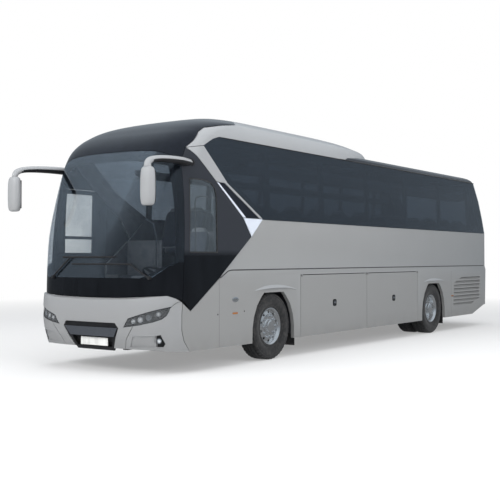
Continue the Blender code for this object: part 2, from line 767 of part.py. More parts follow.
def make_side_wall(coach, name, side):
    wall = crop(layer(side_solid, 0.0, WALL), side_zone(offset_outline(wall_outline(), -PANEL_GAP / 2), side))
    rebate = crop(layer(side_solid, -0.01, GLASS + TOUCH),
                  side_zone(offset_outline(glass_zone_outline(), PANEL_GAP / 2), side, 0.9))
    cut(wall, rebate)
    cut(wall, across_zone([(TAIL_RISE_Y[0], SKIRT_Z - 0.05), (LENGTH + 0.3, SKIRT_Z - 0.05),
                           (LENGTH + 0.3, TAIL_BOTTOM_Z + 0.02), (TAIL_RISE_Y[1], TAIL_BOTTOM_Z)]))
    cut(wall, side_zone(arch_outline(FRONT_AXLE_Y), side, 0.8), side_zone(arch_outline(REAR_AXLE_Y), side, 0.8))
    for opening in window_openings(side):
        cut(wall, opening)
    cut(wall, louvre_openings(side))
    carrier = crop(layer(front_solid, TRIM + TOUCH, WALL),
                   side_zone(offset_outline(hoop_outline(), -PANEL_GAP / 2), side, 0.6))
    strap = crop(layer(front_solid, 2 * TRIM, WALL), side_zone(hoop_strap_outline(), side, 0.6))
    fuse(wall, carrier, strap)
    bays = [(BAY_FRONT_Y, BAY_SPLIT_Y)]
    rear_end = bay_end_y(side)
    bays.append((BAY_SPLIT_Y, rear_end))
    low_y = BAY_FRONT_Y - FLAP_GAP / 2
    high_y = rear_end + FLAP_GAP / 2
    cut(wall, side_zone([(low_y, SKIRT_Z - 0.1), (high_y, SKIRT_Z - 0.1), (high_y, SHOULDER_LOW_Z),
                         (low_y, SHOULDER_LOW_Z)], side))
    if side < 0:
        cut(wall, side_zone(offset_outline(door_outline(MID_DOOR_Y, MID_DOOR_TOP_Z), PANEL_GAP / 2), side))
        cut(wall, side_zone(offset_outline(door_outline(FRONT_DOOR_Y, FRONT_DOOR_TOP_Z), PANEL_GAP / 2), side))
    label = "left" if side > 0 else "right"
    for (y_low, y_high), place in zip(bays, ("front", "rear")):
        make_flap(coach, "luggage_flap_" + place + "_" + label, side, y_low, y_high, wall)
    coach.keep(name, wall, "silver_paint")


def make_side_glass(coach, name, side):
    outline = offset_outline(glass_zone_outline(), -TOUCH)
    glass = crop(layer(side_solid, 0.0, GLASS), side_zone(outline, side, SIDE_INNER_X))
    coach.keep(name, glass, "tinted_glass")


def make_corner_pieces(coach, label, side):
    hoop = crop(layer(front_solid, 0.0, TRIM),
                side_zone(offset_outline(hoop_outline(), -PANEL_GAP / 2), side, 0.3))
    coach.keep("pillar_hoop_" + label, hoop, "silver_paint")
    corner = crop(layer(front_solid, 0.0, PANEL),
                  side_zone(offset_outline(corner_outline(), -PANEL_GAP / 2), side, 0.3))
    if side > 0:
        window = driver_window_outline()
        cut(corner, side_zone(offset_outline(window, -0.03), side, 0.3))
        cut(corner, crop(layer(front_solid, -0.01, GLASS + TOUCH), side_zone(window, side, 0.3)))
        pane = crop(layer(front_solid, 0.002, GLASS), side_zone(offset_outline(window, -TOUCH * 3), side, 0.3))
        coach.keep("driver_window", pane, "clear_glass")
    else:
        cut(corner, side_zone(offset_outline(door_outline(FRONT_DOOR_Y, FRONT_DOOR_TOP_Z), PANEL_GAP / 2),
                              side, 0.3))
    coach.keep("corner_panel_" + label, corner, "black_gloss")


def make_passenger_doors(coach):
    side = SIDES["right"]
    front = door_outline(FRONT_DOOR_Y, FRONT_DOOR_TOP_Z)
    door = crop(layer(front_solid, 0.0, PANEL), side_zone(offset_outline(front, -PANEL_GAP / 2), side, 0.3))
    fuse(door, crop(layer(front_solid, SEAL_DEPTH, SEAL_DEPTH + SEAL_THICK),
                    side_zone(offset_outline(front, PANEL_GAP / 2 - 2 * TOUCH), side, 0.3)))
    edge_low, edge_high = (FRONT_DOOR_Y[0] + DOOR_STILE, FRONT_DOOR_Y[1] - DOOR_STILE)
    panes = [[(edge_low, low), (edge_high, low), (edge_high, high), (edge_low, high)]
             for low, high in FRONT_DOOR_PANES_Z]
    sheet_outline = offset_outline([(edge_low, FRONT_DOOR_PANES_Z[0][0]), (edge_high, FRONT_DOOR_PANES_Z[0][0]),
                                    (edge_high, FRONT_DOOR_PANES_Z[1][1]), (edge_low, FRONT_DOOR_PANES_Z[1][1])],
                                   DOOR_GLASS_LAP)
    for pane in panes:
        cut(door, side_zone(pane, side, 0.3))
    cut(door, crop(layer(front_solid, -0.01, GLASS + TOUCH), side_zone(sheet_outline, side, 0.3)))
    coach.keep("passenger_door_front", door, "silver_paint")
    sheet = crop(layer(front_solid, 0.0, GLASS), side_zone(offset_outline(sheet_outline, -TOUCH * 3), side, 0.3))
    coach.keep("door_glass_front", sheet, "clear_glass")

    middle = door_outline(MID_DOOR_Y, MID_DOOR_TOP_Z)
    door = crop(layer(side_solid, 0.0, PANEL), side_zone(offset_outline(middle, -PANEL_GAP / 2), side))
    fuse(door, crop(layer(side_solid, SEAL_DEPTH, SEAL_DEPTH + SEAL_THICK),
                    side_zone(offset_outline(middle, PANEL_GAP / 2 - 2 * TOUCH), side)))
    coach.keep("passenger_door_mid", door, "silver_paint")


# Front of the body

def make_front(coach):
    outline = windscreen_outline()
    glass = crop(layer(front_solid, 0.0, GLASS), across_zone(offset_outline(outline, -PANEL_GAP / 2)))
    coach.keep("windscreen", glass, "clear_glass")
    frame = crop(layer(front_solid, GLASS + TOUCH, PANEL),
                 across_zone(offset_outline(outline, PANEL_GAP / 2 - TOUCH)))
    opening = [(-0.3, 1.235), (0.50, 1.235), (0.585, 1.40), (0.640, 2.84), (0.47, 3.01), (-0.3, 3.01)]
    cut(frame, across_zone(opening))
    coach.keep("windscreen_frame", frame, "black_plastic")
    dome = crop(layer(front_solid, 0.0, PANEL), across_zone(offset_outline(dome_outline(), -PANEL_GAP / 2)))
    coach.keep("front_dome", dome, "black_gloss")


def front_zone(outline, side, margin=0.0, reach_y=FRONT_ZONE_Y):
    """A prism along y through the bumper, from a front-view outline of one side."""
    return prism("y", [(side * x, z) for x, z in offset_outline(list(outline), margin)], *reach_y)


def corner_zone(side, margin):
    """The corner piece outside the front flap's seam."""
    reach = HALF + 0.1
    return front_zone([*FLAP_SEAM, (reach, FLAP_SEAM[-1][1]), (reach, FLAP_SEAM[0][1])], side, margin)


def make_bumper(coach):
    edge = offset_outline([*BUMPER_TOP, *BUMPER_END, *BUMPER_FOOT], -PANEL_GAP / 2)
    flap = crop(layer(bumper_solid, 0.0, BUMPER_SHELL), across_zone(edge))
    for label, side in SIDES.items():
        corner = crop(copy_blank(flap), corner_zone(side, -PANEL_GAP / 2))
        cut(corner, front_zone(LAMP_OUTLINE, side, PANEL_GAP / 2), front_zone(FOG_OUTLINE, side),
            crop(layer(bumper_solid, -0.01, SCOOP_DEPTH), front_zone(SCOOP_OUTLINE, side)))
        coach.keep("bumper_corner_" + label, corner, "silver_paint")
        lens = crop(layer(bumper_solid, LENS_INSET, BUMPER_SHELL + LENS_INSET),
                    front_zone(LAMP_OUTLINE, side, -TOUCH, LAMP_ZONE_Y))
        flange = crop(layer(bumper_solid, BUMPER_SHELL + TOUCH, BUMPER_SHELL + FLANGE),
                      front_zone(LAMP_OUTLINE, side, FLANGE, LAMP_ZONE_Y))
        fuse(lens, flange)
        coach.keep("headlamp_" + label, lens, "lamp_lens")
    for side in SIDES.values():
        cut(flap, corner_zone(side, PANEL_GAP / 2), front_zone(LAMP_OUTLINE, side, PANEL_GAP / 2 + TOUCH))
    cut(flap, prism("y", list(CENTRE_GRILLE_OUTLINE), *FRONT_ZONE_Y))
    coach.keep("front_flap", flap, "silver_paint")
    low = offset_outline([(-0.20, BUMPER_FOOT[1][1]), (BUMPER_END[0][0], BUMPER_FOOT[1][1]),
                          (BUMPER_END[0][0], 1.0), (-0.20, 1.0)], -PANEL_GAP / 2)
    grille = crop(layer(bumper_solid, GRILLE_INSET, BUMPER_SHELL + LENS_INSET),
                  prism("y", offset_outline(list(CENTRE_GRILLE_OUTLINE), -GRILLE_GAP), *FRONT_ZONE_Y))
    flange = crop(layer(bumper_solid, BUMPER_SHELL + TOUCH, BUMPER_SHELL + FLANGE),
                  prism("y", offset_outline(list(CENTRE_GRILLE_OUTLINE), FLANGE), *FRONT_ZONE_Y))
    fuse(grille, flange)
    crop(grille, across_zone(low))
    cut(grille, crop(layer(bumper_solid, -0.01, BUMPER_SHELL), prism("y", list(PLATE_RECESS), *FRONT_ZONE_Y)))
    coach.keep("centre_grille", grille, "black_plastic")


# Roof

def make_roof(coach):
    roof = crop(layer(side_solid, 0.0, WALL),
                box((-HALF - 0.1, HALF + 0.1), (1.75, LENGTH + 0.2), (GLASS_TOP_Z, ROOF_CROWN_Z + 0.1)))
    coach.keep("roof_shell", roof, "black_gloss")
    hood = crop(layer(hood_solid, 0.0, PANEL), across_zone(offset_outline(hood_outline(), -PANEL_GAP / 2)))
    cut(hood, crop(side_solid(-TOUCH), box((-HALF - 0.2, HALF + 0.2), (0.4, LENGTH + 0.3), (2.9, 3.9))))
    coach.keep("roof_hood", hood, "silver_paint")


# Tail

def tail_zone(outline, depth=1.6):
    """A prism along y through the tail, from a rear-view outline."""
    return prism("y", outline, LENGTH - depth, LENGTH + 0.2)


def make_tail(coach):
    edge = SIDE_INNER_X - PANEL_GAP
    wall = crop(layer(side_solid, 0.0, WALL),
                tail_zone([(-edge, TAIL_BOTTOM_Z), (edge, TAIL_BOTTOM_Z),
                           (edge, GLASS_TOP_Z - TOUCH), (-edge, GLASS_TOP_Z - TOUCH)]))
    glass_box = [(-edge - 0.02, BELT_Z), (edge + 0.02, BELT_Z), (edge + 0.02, GLASS_TOP_Z + 0.02),
                 (-edge - 0.02, GLASS_TOP_Z + 0.02)]
    cut(wall, crop(layer(side_solid, -0.01, GLASS + TOUCH), tail_zone(glass_box)))
    cut(wall, tail_zone([(-0.86, BELT_Z + 0.10), (0.86, BELT_Z + 0.10), (0.80, GLASS_TOP_Z - 0.16),
                         (-0.80, GLASS_TOP_Z - 0.16)]))
    hatch_box = [(-HATCH_HALF, HATCH_Z[0]), (HATCH_HALF, HATCH_Z[0]), (HATCH_HALF, HATCH_Z[1] + 0.012),
                 (-HATCH_HALF, HATCH_Z[1] + 0.012)]
    cut(wall, tail_zone(offset_outline(hatch_box, FLAP_GAP / 2), HATCH_ZONE_DEPTH))
    leaf_half = HATCH_HALF - FLAP_GAP / 2
    hatch = crop(layer(side_solid, 0.0, WALL),
                 tail_zone([(-leaf_half, HATCH_Z[0] + FLAP_GAP / 2), (leaf_half, HATCH_Z[0] + FLAP_GAP / 2),
                            (leaf_half, HATCH_Z[1]), (-leaf_half, HATCH_Z[1])], HATCH_ZONE_DEPTH))
    hinge_y = LENGTH - table_value(TAIL_PROFILE, HATCH_Z[1]) - HINGE_INSET
    centre = (hinge_y, HATCH_Z[1] - HINGE_DROP)
    for side in SIDES.values():
        lug, pin, notch = hinge_parts("x", centre, side * (HATCH_HALF - 0.06), -side)
        cut(hatch, notch)
        fuse(hatch, pin)
        fuse(wall, lug)
    vents = []
    for index in range(6):
        z = 1.02 + 0.10 * index
        outer_y = LENGTH + 0.05
        inner_y = LENGTH - 0.10
        vents.append(prism("x", [(inner_y, z + 0.02), (outer_y, z - 0.02), (outer_y, z + 0.02), (inner_y, z + 0.06)],
                           -0.55, 0.55))
    cut(hatch, *vents)
    coach.keep("engine_hatch", hatch, "silver_paint", (0.0, centre[0], centre[1]))
    for label, side in SIDES.items():
        lamp = [(side * 0.84, 1.02), (side * 1.00, 1.02), (side * 1.00, 1.92), (side * 0.84, 1.92)]
        cut(wall, tail_zone(lamp, HATCH_ZONE_DEPTH))
        lens = crop(layer(side_solid, LENS_INSET, WALL + FLANGE / 2),
                    tail_zone(offset_outline(lamp, -LENS_INSET), HATCH_ZONE_DEPTH))
        flange = crop(layer(side_solid, WALL + TOUCH, WALL + FLANGE),
                      tail_zone(offset_outline(lamp, FLANGE), HATCH_ZONE_DEPTH))
        fuse(lens, flange)
        coach.keep("tail_lamp_" + label, lens, "red_lens")
    coach.keep("rear_wall", wall, "silver_paint")
    window = crop(layer(side_solid, 0.0, GLASS),
                  tail_zone([(-edge, BELT_Z + TOUCH), (edge, BELT_Z + TOUCH), (edge, GLASS_TOP_Z - TOUCH),
                             (-edge, GLASS_TOP_Z - TOUCH)]))
    coach.keep("rear_window", window, "tinted_glass")


# Floor, frame and engine

def inside(blank, inset=WALL):
    """Trims a blank to the space inside the body walls."""
    return carve(blank, side_solid(inset + TOUCH), "INTERSECT")


def make_floor(coach):
    wide = (-HALF, HALF)
    house_low = FRONT_AXLE_Y - ARCH_HALF - 0.055
    house_high = FRONT_AXLE_Y + ARCH_HALF + 0.055
    rear_low = REAR_AXLE_Y - ARCH_HALF - 0.055
    rear_high = REAR_AXLE_Y + ARCH_HALF + 0.055
    floor_low = RAIL_TOP_Z + TOUCH
    deck = box(wide, (1.98, LENGTH), (DECK_Z, DECK_Z + DECK_THICK))
    blocks = [
        box(wide, (house_high, rear_low), (floor_low, floor_low + BAY_FLOOR_THICK)),
        box(wide, (house_high, house_high + 0.03), (floor_low, DECK_Z + 0.01)),
        box(wide, (rear_low - 0.03, rear_low), (floor_low, DECK_Z + 0.01)),
        box((-0.05, 0.05), (BAY_SPLIT_Y - 0.05, BAY_SPLIT_Y + 0.05), (floor_low, DECK_Z + 0.01)),
        box(wide, (house_low - 0.03, house_low), (floor_low, DECK_Z + 0.01)),
        box(wide, (rear_high, rear_high + 0.03), (floor_low, DECK_Z + 0.01)),
        box((-0.50, 0.50), (house_low - 0.02, house_high + 0.02), (DECK_Z - 0.04, DECK_Z + 0.01)),
        box((-0.46, HALF), (0.74, 2.02), (PLATFORM_Z, PLATFORM_Z + 0.04)),
        box((-0.48, -0.44), (0.74, 2.02), (floor_low, PLATFORM_Z + 0.04)),
        box((-HALF, -0.45), (0.74, 2.02), (floor_low, floor_low + 0.04)),
        box((-1.00, -0.45), (0.74, 2.02), (floor_low, 0.60)),
        box((-0.46, HALF), (1.98, 2.02), (PLATFORM_Z, DECK_Z + DECK_THICK)),
        box((-HALF, -0.45), (1.78, 2.02), (0.38, 1.02)),
    ]
    for side in SIDES.values():
        low, high = sorted((side * 0.50, side * 0.52))
        blocks.append(box((low, high), (house_low - 0.01, house_high + 0.01), (floor_low, DECK_Z + 0.01)))
        blocks.append(box((low, high), (rear_low - 0.01, rear_high + 0.01), (floor_low, DECK_Z + 0.01)))
    fuse(deck, *blocks)
    inside(deck)
    for side in SIDES.values():
        edge = HALF - WALL - FLAP_CLEARANCE
        cut(deck, box(sorted((side * edge, side * HALF)),
                      (BAY_FRONT_Y - FLAP_GAP, bay_end_y(side) + FLAP_GAP),
                      (RAIL_BOTTOM_Z, FLAP_TOP_Z + FLAP_GAP)))
    cut(deck, box((-0.6, 0.6), (FRONT_AXLE_Y - 0.10, FRONT_AXLE_Y + 0.10), (floor_low - 0.1, HUB_Z + 0.12)),
        box((-0.6, 0.6), (REAR_AXLE_Y - 0.16, REAR_AXLE_Y + 0.16), (floor_low - 0.1, HUB_Z + 0.16)))
    for side in SIDES.values():
        cut(deck, box(sorted((side * 0.81, side * 1.03)), (LENGTH - WALL - 0.03, LENGTH),
                      (DECK_Z - 0.1, DECK_Z + 0.2)))
    coach.keep("floor_deck", deck, "floor_cover")


def make_underframe(coach):
    frame = box(RAIL_X, (0.42, 10.80), (RAIL_BOTTOM_Z, RAIL_TOP_Z))
    fuse(frame, box((-RAIL_X[1], -RAIL_X[0]), (0.42, 10.80), (RAIL_BOTTOM_Z, RAIL_TOP_Z)))
    for y in (0.60, 3.50, 5.88, 8.16, 10.60):
        fuse(frame, box((-0.43, 0.43), (y, y + 0.07), (RAIL_BOTTOM_Z, RAIL_TOP_Z)))
    reach = HALF - WALL - 0.02
    for y in (3.55, BAY_SPLIT_Y, 8.10):
        fuse(frame, box((-reach, reach), (y, y + 0.06), (RAIL_BOTTOM_Z, RAIL_TOP_Z)))
    beam = crop(layer(bumper_solid, BUMPER_SHELL + FLANGE + 0.002, 0.13),
                box((-1.20, 1.20), (-0.1, 0.70), (0.34, 0.42)))
    fuse(frame, beam)
    for side in SIDES.values():
        pad = crop(layer(bumper_solid, BUMPER_SHELL + TOUCH, 0.10),
                   box(sorted((side * 0.61, side * 1.15)), (-0.1, 0.65), (0.35, 0.41)))
        fuse(frame, pad)
    for side in SIDES.values():
        low, high = sorted((side * RAIL_X[0], side * RAIL_X[1]))
        fuse(frame, box((low, high), (0.30, 0.50), (0.34, 0.41)))
    coach.keep("underframe", frame, "underframe_black")


def make_engine(coach):
    engine = box((-0.42, 0.42), (9.75, 11.20), (RAIL_TOP_Z + TOUCH, 1.16))
    coach.keep("engine_block", engine, "cast_metal")


# Running gear

def make_tyre(coach, name, side, outer_x, axle_y):
    half = TYRE_WIDTH / 2
    centre_x = outer_x - half
    tread = TYRE_RADIUS
    profile = [(RIM_RADIUS + TOUCH, -half + BEAD_INSET), (tread - 0.115, -half), (tread - 0.022, -half + 0.022),
               (tread, -half + 0.060), (tread, half - 0.060), (tread - 0.022, half - 0.022),
               (tread - 0.115, half), (RIM_RADIUS + TOUCH, half - BEAD_INSET)]
    tyre = turned(profile, WHEEL_STEPS, True)
    moved(tyre, (side * centre_x, axle_y, HUB_Z))
    coach.keep(name, tyre, "tyre_rubber", (side * centre_x, axle_y, HUB_Z))


def make_front_rim(coach, name, side):
    """Disc wheel turned about the axle, with its face near the tyre's outer side."""
    half = TYRE_WIDTH / 2
    bore = SPINDLE_RADIUS + SPIN_PLAY
    face = half - FRONT_FACE_INSET
    profile = [(bore, -0.034), (0.130, -0.034), (RIM_RADIUS - 0.045, face - 0.075),
               (RIM_RADIUS, -half + BEAD_INSET), (RIM_RADIUS, half - BEAD_INSET), (RIM_RADIUS - 0.030, face - 0.040),
               (0.175, face - 0.020), (0.115, face - 0.005), (0.095, face + 0.040), (bore, face + 0.045)]
    rim = turned(profile, WHEEL_STEPS, True)
    centre_x = TYRE_OUTER_X - half
    moved(rim, (centre_x, 0.0, 0.0))
    moved(rim, (0.0, FRONT_AXLE_Y, HUB_Z), flip_x=side < 0)
    coach.keep(name, rim, "polished_rim", (side * centre_x, FRONT_AXLE_Y, HUB_Z))


def make_rear_rim(coach, name, side):
    """Twin disc wheel and hub, one turned piece that carries both tyres."""
    half = TYRE_WIDTH / 2
    bore = SPINDLE_RADIUS + SPIN_PLAY
    inner = -TWIN_SPACING
    face = half - REAR_FACE_INSET
    profile = [(bore, inner + 0.02), (0.110, inner + 0.02), (0.120, face - 0.050),
               (RIM_RADIUS - 0.045, face - 0.060), (RIM_RADIUS, inner - half + BEAD_INSET),
               (RIM_RADIUS, half - BEAD_INSET), (RIM_RADIUS - 0.032, face + 0.020),
               (0.150, face), (0.115, face + 0.130), (bore, face + 0.155)]
    rim = turned(profile, WHEEL_STEPS, True)
    centre_x = TYRE_OUTER_X - half
    moved(rim, (centre_x, 0.0, 0.0))
    moved(rim, (0.0, REAR_AXLE_Y, HUB_Z), flip_x=side < 0)
    coach.keep(name, rim, "polished_rim", (side * centre_x, REAR_AXLE_Y, HUB_Z))


def make_knuckle(coach, name, side):
    pin_x = side * (TYRE_OUTER_X - KINGPIN_INBOARD)
    pin_centre = (pin_x, FRONT_AXLE_Y)
    knuckle = rod("z", pin_centre, KINGPIN_RADIUS, HUB_Z - 0.125, HUB_Z + 0.125, SPINDLE_STEPS)
    plate_x = (pin_x + side * (AXLE_EYE_RADIUS + 0.004), pin_x + side * (AXLE_EYE_RADIUS + 0.018))
    for low in (HUB_Z - 0.135, HUB_Z + 0.085):
        fuse(knuckle, box(sorted((pin_x - side * 0.040, plate_x[1] - side * 0.002)),
                          (FRONT_AXLE_Y - 0.040, FRONT_AXLE_Y + 0.040), (low, low + 0.050)))
    fuse(knuckle, box(sorted(plate_x), (FRONT_AXLE_Y - 0.060, FRONT_AXLE_Y + 0.060),
                      (HUB_Z - 0.132, HUB_Z + 0.132)))
    spindle_end = side * (TYRE_OUTER_X - TYRE_WIDTH / 2 + 0.09)
    low, high = sorted((plate_x[0] + side * 0.002, spindle_end))
    fuse(knuckle, rod("x", (FRONT_AXLE_Y, HUB_Z), SPINDLE_RADIUS, low, high, SPINDLE_STEPS))
    coach.keep(name, knuckle, "cast_metal", (pin_x, FRONT_AXLE_Y, HUB_Z))


def make_front_axle(coach):
    pin_x = TYRE_OUTER_X - KINGPIN_INBOARD
    axle = prism("y", [(-pin_x, HUB_Z - 0.05), (-0.50, HUB_Z - 0.10), (0.50, HUB_Z - 0.10),
                       (pin_x, HUB_Z - 0.05), (pin_x, HUB_Z + 0.05), (0.50, HUB_Z), (-0.50, HUB_Z),
                       (-pin_x, HUB_Z + 0.05)],
                 FRONT_AXLE_Y - 0.05, FRONT_AXLE_Y + 0.05)
    for side in SIDES.values():
        centre = (side * pin_x, FRONT_AXLE_Y)
        fuse(axle, rod("z", centre, AXLE_EYE_RADIUS, HUB_Z - 0.08, HUB_Z + 0.08, 16))
        cut(axle, rod("z", centre, KINGPIN_RADIUS + SPIN_PLAY, HUB_Z - 0.2, HUB_Z + 0.2, SPINDLE_STEPS))
        low, high = sorted((side * RAIL_X[0], side * RAIL_X[1]))
        fuse(axle, box((low, high), (FRONT_AXLE_Y - 0.04, FRONT_AXLE_Y + 0.04),
                       (RAIL_TOP_Z + TOUCH, HUB_Z - 0.05)))
    coach.keep("front_axle", axle, "cast_metal")


def make_rear_axle(coach):
    centre = (REAR_AXLE_Y, HUB_Z)
    reach = TYRE_OUTER_X - TYRE_WIDTH / 2 - TWIN_SPACING
    end = TYRE_OUTER_X - TYRE_WIDTH / 2 - 0.03
    axle = rod("x", centre, 0.085, -reach, reach, 16)
    fuse(axle, rod("x", centre, SPINDLE_RADIUS, -end, end, SPINDLE_STEPS))
    fuse(axle, rod("x", centre, 0.130, -0.26, 0.26, 16))
    for side in SIDES.values():
        low, high = sorted((side * RAIL_X[0], side * RAIL_X[1]))
        fuse(axle, box((low, high), (REAR_AXLE_Y - 0.05, REAR_AXLE_Y + 0.05), (RAIL_TOP_Z + TOUCH, HUB_Z)))
    coach.keep("rear_axle", axle, "cast_metal")


# Cab and cabin

def make_dashboard(coach):
    outline = [(0.30, PLATFORM_Z + 0.10), (0.62, PLATFORM_Z + 0.10), (0.62, 1.02), (0.78, 1.16), (0.70, DASH_TOP_Z),
               (0.30, DASH_TOP_Z)]
    dash = prism("x", outline, -0.40, 1.10)
    carve(dash, front_solid(PANEL + TOUCH * 2), "INTERSECT")
    stand = box((0.20, 1.00), (0.742, 0.80), (PLATFORM_Z + 0.04 + TOUCH, 1.14))
    fuse(dash, stand)
    lean = Vector((0.0, math.sin(STEERING_TILT), math.cos(STEERING_TILT)))
    low = WHEEL_CENTRE - lean * 0.30
    high = WHEEL_CENTRE - lean * (0.02 + TOUCH)
    fuse(dash, tilted_rod(low, high, 0.035))
    coach.keep("dashboard", dash, "black_plastic")


def tilted_rod(start, end, radius, steps=12):
    direction = (end - start).normalized()
    across = direction.cross(Vector((1, 0, 0))).normalized()
    up = across.cross(direction)
    rings = [[point + (across * math.cos(math.tau * step / steps) + up * math.sin(math.tau * step / steps)) * radius
              for step in range(steps)] for point in (start, end)]
    return loft(rings)


def make_steering_wheel(coach):
    section = [(STEERING_WHEEL_RADIUS + y, x) for y, x in circle_points(0.016, 6)]
    rim = turned(section, 20, True)
    hub = rod("x", (0.0, 0.0), 0.060, -0.02, 0.02, 10)
    fuse(rim, hub)
    for index in range(3):
        angle = math.radians(90 + 120 * index)
        spoke = box((-0.008, 0.008), (0.03, STEERING_WHEEL_RADIUS), (-0.022, 0.022))
        spoke.data.transform(Matrix.Rotation(angle, 4, "X"))
        fuse(rim, spoke)
    lean = Vector((0.0, math.sin(STEERING_TILT), math.cos(STEERING_TILT)))
    rim.data.transform(Vector((1, 0, 0)).rotation_difference(lean).to_matrix().to_4x4())
    moved(rim, WHEEL_CENTRE)
    coach.keep("steering_wheel", rim, "black_plastic", WHEEL_CENTRE)


def seat_outline(y, z, foot=0.32):
    """Side view of a high-backed seat with its front at y, its foot cut off at a height."""
    points = ((0.0, 0.34), (0.02, 0.45), (0.42, 0.42), (0.60, 1.08), (0.70, 1.08), (0.55, 0.34),
              (0.40, foot), (0.20, foot))
    return [(y + a, z + b) for a, b in points]


def make_driver_seat(coach):
    x = WHEEL_CENTRE.x
    top = PLATFORM_Z + 0.04
    seat = prism("x", seat_outline(DRIVER_SEAT_Y - 0.20, top + 0.08, TOUCH - 0.08), x - 0.25, x + 0.25)
    coach.keep("driver_seat", seat, "seat_cloth")


def make_passenger_seats(coach):
    top = DECK_Z + DECK_THICK
    last_y = SEAT_FIRST_Y + SEAT_PITCH * (SEAT_ROWS - 1)
    centre_x = sum(SEAT_RAIL_X) / 2
    for label, side in SIDES.items():
        low, high = sorted((side * (SEAT_RAIL_X[0]), side * (SEAT_RAIL_X[0] + 0.04)))
        seats = box((low, high), (SEAT_FIRST_Y, last_y + 0.5), (top + TOUCH, top + 0.03))
        low, high = sorted((side * (SEAT_RAIL_X[1] - 0.04), side * (SEAT_RAIL_X[1])))
        second = box((low, high), (SEAT_FIRST_Y, last_y + 0.5), (top + TOUCH, top + 0.03))
        for row in range(SEAT_ROWS):
            y = SEAT_FIRST_Y + SEAT_PITCH * row
            low, high = sorted((side * (centre_x - SEAT_PAIR_WIDTH / 2), side * (centre_x + SEAT_PAIR_WIDTH / 2)))
            pair = prism("x", seat_outline(y, top, 0.02), low, high)
            fuse(seats, pair)
        fuse(seats, second)
        coach.keep("passenger_seats_" + label, seats, "seat_cloth")


# Mirrors and wipers

def make_mirror(coach, label, side):
    """Arm from the front pillar with the head hung from its end."""
    path = smooth_path([MIRROR_ROOT, MIRROR_MID, MIRROR_BEND + Vector((0.0, 0.05, 0.02)),
                        MIRROR_BEND + Vector((0.012, 0.0, -0.09))], 4)
    count = len(path)
    sizes = [(MIRROR_ARM_WIDE * (1 - MIRROR_ARM_TAPER * index / count), MIRROR_ARM_HIGH)
             for index in range(count)]
    arm = sweep(path, sizes, 8)
    head_rings = []
    for share, wide, deep in ((-1.0, 0.55, 0.50), (-0.9, 0.88, 0.85), (-0.5, 1.0, 1.0), (0.3, 0.98, 1.0),
                              (0.8, 0.80, 0.85), (1.0, 0.45, 0.5)):
        centre = MIRROR_HEAD + Vector((0.0, 0.0, share * MIRROR_HEAD_HALF.z))
        head_rings.append([centre + Vector((MIRROR_HEAD_HALF.x * wide * math.cos(math.tau * k / 10),
                                            MIRROR_HEAD_HALF.y * deep * math.sin(math.tau * k / 10), 0.0))
                           for k in range(10)])
    head = loft(head_rings)
    fuse(arm, head)
    carve(arm, front_solid(-TOUCH), "DIFFERENCE")
    moved(arm, (0.0, 0.0, 0.0), flip_x=side < 0)
    coach.keep("mirror_" + label, arm, "silver_paint")


def glass_y(x, z):
    """Y of the windscreen's outer face at a point of the front view."""
    nose = table_value([(level[0], level[3]) for level in FRONT_LEVELS], z)
    half = HALF - table_value([(level[0], level[1]) for level in FRONT_LEVELS], z)
    return nose + front_sweep(min(abs(x) / half, 1.0), CORNER_DEPTH)


def on_glass(x, z, lift):
    return Vector((x, glass_y(x, z) - lift, z))


def make_wiper(coach, name, pivot, elbow, blade_x):
    """An arm from its pivot on the glass to a level blade."""
    middle = ((pivot[0] + elbow[0]) / 2, (pivot[1] + elbow[1]) / 2)
    arm = sweep([on_glass(*point, WIPER_LIFT) for point in (pivot, middle, elbow)], [(0.014, 0.012)] * 3, 6)
    boss = prism("y", circle_points(0.024, 8, pivot), glass_y(*pivot) - WIPER_LIFT - 0.012,
                 glass_y(*pivot) + 0.06)
    start, end = blade_x
    path = [on_glass(start + (end - start) * step / WIPER_STEPS, elbow[1], WIPER_LIFT - 0.010)
            for step in range(WIPER_STEPS + 1)]
    blade = sweep(path, [(0.010, 0.014)] * len(path), 6)
    fuse(arm, boss, blade)
    carve(arm, front_solid(-TOUCH), "DIFFERENCE")
    coach.keep(name, arm, "black_plastic")


def build():
    clear_scene()
    coach = Coach()
    for label, side in SIDES.items():
        make_side_wall(coach, "side_wall_" + label, side)
        make_side_glass(coach, "side_glass_" + label, side)
        make_corner_pieces(coach, label, side)
        make_mirror(coach, label, side)
        make_tyre(coach, "front_tyre_" + label, side, TYRE_OUTER_X, FRONT_AXLE_Y)
        make_tyre(coach, "rear_tyre_outer_" + label, side, TYRE_OUTER_X, REAR_AXLE_Y)
        make_tyre(coach, "rear_tyre_inner_" + label, side, TYRE_OUTER_X - TWIN_SPACING, REAR_AXLE_Y)
        make_front_rim(coach, "front_rim_" + label, side)
        make_rear_rim(coach, "rear_rim_" + label, side)
        make_knuckle(coach, "knuckle_" + label, side)
    make_passenger_doors(coach)
    make_front(coach)
    make_bumper(coach)
    make_roof(coach)
    make_tail(coach)
    make_floor(coach)
    make_underframe(coach)
    make_engine(coach)
    make_front_axle(coach)
    make_rear_axle(coach)
    make_dashboard(coach)
    make_steering_wheel(coach)
    make_driver_seat(coach)
    make_passenger_seats(coach)
    make_wiper(coach, "wiper_left", (0.985, 1.305), (0.700, 1.490), (0.720, -0.400))
    make_wiper(coach, "wiper_right", (-0.820, 1.300), (-0.420, 1.587), (-0.600, 0.430))
    coach.remove_leftovers()


build()
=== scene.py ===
"""Looks of a two-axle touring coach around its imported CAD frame.

Lengths are metres. Inside the making functions y is counted rearward from the nose of the
front bumper, as in the part's source, and every piece is moved into the frame when it is placed.
"""
import math

import bmesh
import bpy
from mathutils import Matrix, Vector


